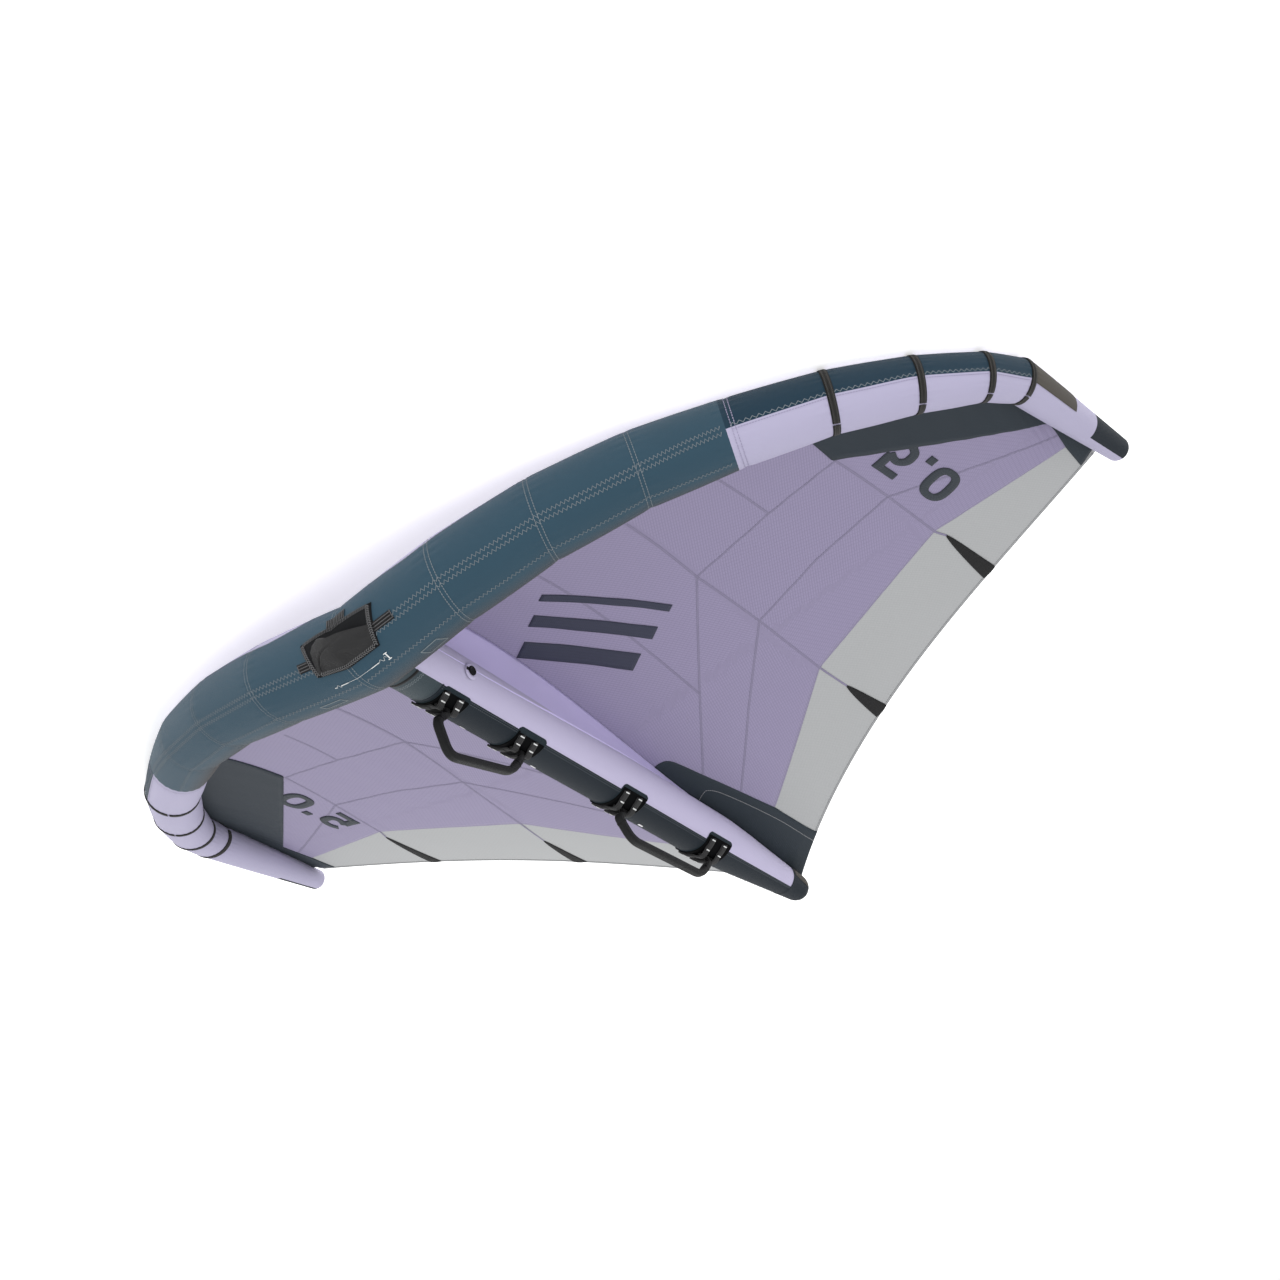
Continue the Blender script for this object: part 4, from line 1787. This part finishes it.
def make_grip_patch():
    """The padded patch of the grip, braided at its sides and foot, with three rows of squares above."""
    parts = Parts()
    across, share = spread(np.linspace(-1, 1, 61), np.linspace(0, 1, 41))
    rim = 1 - np.maximum(np.abs(across), np.abs(2 * share - 1)) ** 16
    flat = grip_point(across, share)
    parts.add(span_surface(flat, PATCH_LOW + (GRIP_BASE + PATCH_SWELL) * rim), flat)
    steps = np.linspace(*BRAID_SIDE_ENDS, 30)
    edges = [grip_point(place, steps) for place in BRAID_SIDES]
    edges.append(grip_point(np.linspace(*BRAID_FOOT_ENDS, 40), BRAID_FOOT))
    for edge in edges:
        ribbon(parts, span_surface, edge, BRAID_BED_WIDTH, BRAID_BED_LIFT, crown=BRAID_BED_CROWN)
        braid(parts, span_surface, edge, BRAID_WIDTH, BRAID_LIFT, 1)
    for row in SQUARE_ROWS:
        path = dense(grip_point(np.linspace(-SQUARE_ROW_REACH, SQUARE_ROW_REACH, 40), row), BRAID_STEP)
        stitches(parts, span_surface, path, 2, **SQUARES)
    patch = parts.piece(
        "grip_patch_padding", ["foam", "rib", "fine_rib"], slot="black_webbing", nodes=["grip_patch"],
        wall=GRIP_PATCH_WALL,
    )


# Settling of the flap
SETTLE_FRAMES = 20
SETTLE_LIMIT = 0.006


def settle(obj, held, growth):
    """Cloth simulation: the piece is cut a little too large and wrinkles while its edges are held."""
    mesh = obj.data
    before = np.array([vertex.co for vertex in mesh.vertices])
    group = obj.vertex_groups.new(name="held")
    group.add([int(index) for index in held], 1.0, "REPLACE")
    cloth_modifier = obj.modifiers.new("cloth", "CLOTH")
    settings = cloth_modifier.settings
    settings.quality = 8
    settings.mass = 0.25
    settings.tension_stiffness = 12
    settings.compression_stiffness = 12
    settings.shear_stiffness = 4
    settings.bending_stiffness = 0.4
    settings.vertex_group_mass = "held"
    settings.shrink_min = -growth
    settings.use_pressure = True
    settings.uniform_pressure_force = 2.0
    settings.effector_weights.gravity = 0.0
    obj.modifiers.move(len(obj.modifiers) - 1, 0)
    for modifier in list(obj.modifiers)[1:]:
        modifier.show_viewport = False
    scene = bpy.context.scene
    for number in range(1, SETTLE_FRAMES + 1):
        scene.frame_set(number)
    shaped = obj.evaluated_get(bpy.context.evaluated_depsgraph_get())
    after = np.array([vertex.co for vertex in shaped.data.vertices])
    obj.modifiers.remove(cloth_modifier)
    obj.vertex_groups.clear()
    for modifier in obj.modifiers:
        modifier.show_viewport = True
    scene.frame_set(1)
    move = after - before
    size = np.linalg.norm(move, axis=1, keepdims=True)
    move *= np.minimum(1, SETTLE_LIMIT / np.maximum(size, 1e-9))
    mesh.vertices.foreach_set("co", (before + move).ravel())
    mesh.update()


FLAP_FOOT_SHARE = 0.11
FLAP_LIFT = GRIP_BASE + 0.0030
FLAP_ROUND = 0.9
FLAP_SIDE = 0.885
FLAP_LEAN = 0.12
FLAP_WALL = 0.0030
FLAP_GROWTH = 0.02


def make_grip_flap():
    """The bulging flap, open above, whose free edge falls to the right."""
    parts = Parts()
    across, rise = spread(np.linspace(-1, 1, 91), np.linspace(0, 1, 60))
    free = np.interp(across, FREE_EDGE_ACROSS, FREE_EDGE_SHARES)
    share = FLAP_FOOT_SHARE + (free - FLAP_FOOT_SHARE) * rise
    side = 1 - np.abs(across) ** 4
    height = GRIP_BULGE * np.sin(pi / 2 * rise) * side * np.clip((1 - across) / FLAP_ROUND, 0, 1) ** 0.7
    lifts = FLAP_LIFT + height - crease_drop(across, share) * np.minimum(1, 10 * (1 - np.abs(across)))
    flat = grip_point(across * (FLAP_SIDE - FLAP_LEAN * rise * (across > 0) * across), share)
    parts.add(span_surface(flat, lifts), flat)
    nodes = ["grip_flap"]
    flap = parts.piece("grip_flap_padding", ["flap"], slot="black_webbing", nodes=nodes, wall=FLAP_WALL)
    rows, columns = across.shape
    index = np.arange(rows * columns).reshape(rows, columns)
    settle(flap, np.r_[index[0], index[-1], index[:, 0]], FLAP_GROWTH)


# Leash line
LEASH_ANGLE = -162.5
LEASH_ENDS = (-0.086, 0.070)
SQUIGGLES = ((-1, -0.066), (0.053, 0.066))
SQUIGGLE_REACH = 0.0045
SQUIGGLE_PITCH = 0.0130
SLEEVES = ((-0.064, -0.040), (0.030, 0.052), (0.067, 1))
SLEEVE_RADIUS = 0.0011
LEASH_RADIUS = 0.0004
LEASH_LIFT = 0.0009
LEASH_TACK_PLACE = -0.090
LEASH_TACK = (
    ((0, -0.010), (0, 0.010), 0.0032),
    ((-0.005, -0.010), (0.005, -0.010), 0.0024),
    ((-0.005, 0.010), (0.005, 0.010), 0.0024),
)
LEASH_TACK_LIFT = 0.0012


def within(values, ranges):
    """Where the values lie inside one of the ranges."""
    return np.any([(values > low) & (values < high) for low, high in ranges], axis=0)


def make_leash_line():
    """The thin cord on the leading edge: thick sleeves, squiggles, and a bar tack shaped like an I."""
    parts = Parts()
    across = np.linspace(*LEASH_ENDS, 160)
    base = np.radians(LEASH_ANGLE) * EDGE_RADIUS
    swing = np.sin(2 * pi * (across - LEASH_ENDS[0]) / SQUIGGLE_PITCH)
    line = stacked(across, base + SQUIGGLE_REACH * swing * within(across, SQUIGGLES))
    radius = np.where(within(across, SLEEVES), SLEEVE_RADIUS, LEASH_RADIUS)
    centre = span_surface(line, LEASH_LIFT + radius)
    run = unit(np.gradient(centre, axis=0))
    out = unit(span_surface(line, np.full(len(line), NORMAL_STEP)) - centre)
    side = unit(np.cross(run, out))
    turn = turns(12)
    ring = stacked(np.cos(turn), np.sin(turn))
    spokes = ring[None, :, :1] * side[:, None] + ring[None, :, 1:] * out[:, None]
    uvs = stacked(*spread(run_lengths(line), turn * UV_SECTION))
    parts.add(centre[:, None] + radius[:, None, None] * spokes, uvs, closed=True)
    end = np.array([LEASH_TACK_PLACE, base])
    for first, last, width in LEASH_TACK:
        stroke = np.array([end + first, end + last])
        ribbon(parts, span_surface, stroke, width, LEASH_TACK_LIFT, step=0.004, crown=0.0012)
    parts.piece("leash_line_cord", ["white"], slot="white_cord", nodes=["leash_line"])


# Valve
VALVE_PLACE = 0.309
VALVE_ANGLE = radians(-83)
FLANGE_RADIUS = 0.021
FLANGE_WALL = 0.0022
NECK_RADIUS = 0.0115
NECK_LENGTH = 0.016
BORE_RADIUS = 0.0085
CAP_RADIUS = 0.0130
CAP_WALL = 0.0040
PLUG_LENGTH = 0.0030
HINGE_PLACE = -(FLANGE_RADIUS + 0.0004)
HINGE_TAB_WIDTH = 0.009
HINGE_TAB_CORNER = 0.0006
HINGE_TAB_END_SHARE = 0.8
FLANGE_BEVEL = 0.003
FLANGE_RIM = 0.0008
RING_SLOPE = 0.0012
WELDED_RING = (
    (CAP_RADIUS + 0.0004, FLANGE_WALL - 0.0002),
    (CAP_RADIUS + 0.0006, FLANGE_WALL + 0.0009),
    (FLANGE_RADIUS - 0.002, FLANGE_WALL + 0.0007),
    (FLANGE_RADIUS + 0.0016, 0.0006),
    (FLANGE_RADIUS + 0.0022, -0.0012),
)
CAP_SLOPE = 0.0007
CAP_RIM = 0.004
CAP_DISH = 0.0012
PLUG_TAPER = 0.0005
SCALLOPS = 18
SCALLOP_SHARE = 0.012
SCALLOP_RIM = 0.002
CENTRE_HOLE = 0.0001


def lathe(parts, profile, frame_of, slot=0, steps=72, ripple=0.0, ripple_from=0.0):
    """A turned solid; the ripple scallops it outside a radius."""
    profile = np.asarray(profile, float)
    turn = turns(steps)
    radius = profile[:, :1] * (1 + ripple * np.cos(SCALLOPS * turn)[None] * (profile[:, :1] > ripple_from))
    local = stacked(radius * np.cos(turn), radius * np.sin(turn), np.repeat(profile[:, 1:], steps, 1))
    parts.add(frame_of(local), local[..., :2], slot, closed=True)


def make_valve():
    """The flanged valve on the strut's side and its hinged cap with a scalloped rim."""
    place = strut(VALVE_PLACE, VALVE_ANGLE, GAP + FLANGE_RADIUS ** 2 / STRUT_RADIUS / 2)
    out = np.array([sin(VALVE_ANGLE), 0, cos(VALVE_ANGLE)])
    back = np.array([0, 1, 0])
    turn = np.array([np.cross(back, out), back, out])

    def seat(local):
        return place + local @ turn

    make_valve_body(seat)
    make_valve_cap(seat)


def make_valve_body(seat):
    """The flange with its neck and bore, and the pale ring of cloth welded round it."""
    parts = Parts()
    flange = [
        (BORE_RADIUS, -NECK_LENGTH),
        (BORE_RADIUS, FLANGE_WALL),
        (FLANGE_RADIUS - FLANGE_BEVEL, FLANGE_WALL),
        (FLANGE_RADIUS, FLANGE_RIM),
        (FLANGE_RADIUS, 0.0),
        (NECK_RADIUS, 0.0),
        (NECK_RADIUS, -NECK_LENGTH),
    ]
    lathe(parts, rounded_corners(flange, FLANGE_RIM, 5), seat)
    lathe(parts, rounded_corners(WELDED_RING, RING_SLOPE, 5), seat, 1)
    materials = ["moulding", "strut_lavender"]
    parts.piece("inflation_valve_body", materials, slot="black_moulding", nodes=["inflation_valve"])


def make_valve_cap(seat):
    """The cap: a plug, a dished lid with a scalloped rim, and the tab of its hinge."""
    parts = Parts()
    low = FLANGE_WALL + GAP
    top = low + CAP_WALL
    plug = BORE_RADIUS - GAP
    cap = [
        (CENTRE_HOLE, low - PLUG_LENGTH),
        (plug - PLUG_TAPER, low - PLUG_LENGTH),
        (plug, low),
        (CAP_RADIUS, low),
        (CAP_RADIUS, top),
        (CAP_RADIUS - CAP_RIM, top),
        (CAP_RADIUS - CAP_RIM - CAP_DISH, top - CAP_DISH),
        (CENTRE_HOLE, top - CAP_DISH),
    ]
    profile = rounded_corners(cap, CAP_SLOPE, 5)
    lathe(parts, profile, seat, ripple=SCALLOP_SHARE, ripple_from=CAP_RADIUS - SCALLOP_RIM)
    rows = np.linspace(HINGE_PLACE, -CAP_RADIUS * HINGE_TAB_END_SHARE, 8)
    rows = np.r_[rows[:1], rows, rows[-1:]]
    section = rounded_box(HINGE_TAB_WIDTH, CAP_WALL / 2, HINGE_TAB_CORNER)
    scales = np.r_[0, np.ones(8), 0][:, None, None]
    local = section[None] * scales
    height = local[..., 1] + low + CAP_WALL / 4
    local = stacked(local[..., 0], np.broadcast_to(rows[:, None], height.shape), height)
    parts.add(seat(local), local[..., :2], closed=True)
    parts.piece("valve_cap_lid", ["moulding"], body="valve_cap", slot="black_moulding", nodes=["valve_cap"])


# Bladders and hose
BLADDER_DEPTH = -0.0060
BLADDER_END = 8.80
STRUT_BLADDER_START = 0.14
STRUT_BLADDER_STOP = 0.01
HOSE_ENDS = (0.095, 0.150)
HOSE_LEVEL_PLACE = 0.11
HOSE_RADIUS = 0.011


def make_bladders():
    """The airtight film inside the leading edge and the strut, and the hose between them."""
    parts = Parts()
    place, angle = spread(np.linspace(-BLADDER_END, BLADDER_END, 120), turns(32))
    parts.add(tube(place, angle, BLADDER_DEPTH), stacked(along_edge(place), angle * UV_ROUND), closed=True)
    parts.piece("edge_bladder_film", ["film"], slot="clear_bladder", nodes=["leading_edge_bladder"])
    parts = Parts()
    last = STRUT_LENGTH - TAIL_CAP_LENGTH - STRUT_BLADDER_STOP
    along, angle = spread(np.linspace(STRUT_BLADDER_START, last, 40), turns(32))
    parts.add(strut(along, angle, BLADDER_DEPTH), stacked(along, angle * UV_ROUND), closed=True)
    parts.piece("strut_bladder_film", ["film"], slot="clear_bladder", nodes=["strut_bladder"])
    parts = Parts()
    start, end = ((0, along, strut_axis(HOSE_LEVEL_PLACE)) for along in HOSE_ENDS)
    rod(parts, start, end, HOSE_RADIUS)
    parts.piece("inflation_hose_rubber", ["moulding"], slot="black_rubber", nodes=["inflation_hose"])


make_sleeve()
make_canopy()
make_trailing_panels()
make_strut()
make_tail_cap()
make_webs()
make_bands()
make_edge_stitching()
make_edge_tags()
make_scuff_patches()
make_sail_seams()
make_patches()
make_darts()
make_hem()
make_figures()
make_bars()
make_strut_trim()
make_pads()
make_straps()
make_handle("front_handle", 0, 1, FRONT_CORNERS)
make_handle("back_handle", 2, 3, BACK_CORNERS)
make_grip_webbing()
make_grip_patch()
make_grip_flap()
make_leash_line()
make_valve()
make_bladders()

# Floor, light and camera
CAMERA_PLACE = (-2.3872, -2.7558, 2.6307)
CAMERA_RIGHT = (-0.79599, 0.58584, 0.15228)
CAMERA_DOWN = (0.44291, 0.39221, 0.80623)
CAMERA_FORWARD = (0.4126, 0.70919, -0.57167)
LENS = 50.0
SENSOR = 36.0
FLOOR_REACH = 60.0
FLOOR_DROP = -0.0015
FLOOR_COLOUR = (0.96, 0.96, 0.96, 1)
FLOOR_GLOW = 0.5
SKY_STRENGTH = 1.02
WHITE = (1, 1, 1, 1)
LAMP_SIZE = 4.0
LAMPS = (("key", (-3.5, -4.5, 5.0), (0, 0, 0.4), 130.0), ("fill", (3.5, 2.5, 4.5), (0, 0, 0.3), 75.0))


def make_camera():
    """The photograph's camera, found by fitting the wing's seams."""
    data = bpy.data.cameras.new("camera")
    data.lens = LENS
    data.sensor_width = SENSOR
    data.clip_end = 200.0
    camera = bpy.data.objects.new("camera", data)
    bpy.context.scene.collection.objects.link(camera)
    right, down, forward = (TIP @ np.array(v) for v in (CAMERA_RIGHT, CAMERA_DOWN, CAMERA_FORWARD))
    place = laid(CAMERA_PLACE)
    turn = Matrix((right, -down, -forward)).transposed()
    camera.matrix_world = Matrix.Translation(place) @ turn.to_4x4()
    bpy.context.scene.camera = camera


def make_lamp(name, place, target, power):
    """A soft square lamp aimed at a target."""
    data = bpy.data.lights.new(name, "AREA")
    data.shape = "SQUARE"
    data.size = LAMP_SIZE
    data.energy = power
    lamp = bpy.data.objects.new(name, data)
    bpy.context.scene.collection.objects.link(lamp)
    lamp.location = place
    lamp.rotation_euler = (Vector(target) - Vector(place)).to_track_quat("-Z", "Y").to_euler()


def make_studio():
    """A pale floor, a pale sky and soft lamps."""
    mesh = bpy.data.meshes.new("floor")
    corners = [(across * FLOOR_REACH, along * FLOOR_REACH, 0) for across, along in SQUARE_SIGNS]
    mesh.from_pydata(corners, [], [(0, 1, 2, 3)])
    floor = bpy.data.objects.new("floor", mesh)
    floor.location.z = FLOOR_DROP
    graph = Graph("pale_floor")
    graph.set(Base_Color=FLOOR_COLOUR, Roughness=1.0, Specular_IOR_Level=0.0)
    graph.set(Emission_Color=WHITE, Emission_Strength=FLOOR_GLOW)
    mesh.materials.append(graph.material)
    bpy.context.scene.collection.objects.link(floor)
    world = bpy.data.worlds.new("studio")
    world.use_nodes = True
    sky = world.node_tree.nodes["Background"]
    sky.inputs[0].default_value = WHITE
    sky.inputs[1].default_value = SKY_STRENGTH
    bpy.context.scene.world = world
    bpy.context.scene.view_settings.view_transform = "Standard"
    for lamp in LAMPS:
        make_lamp(*lamp)


make_camera()
make_studio()
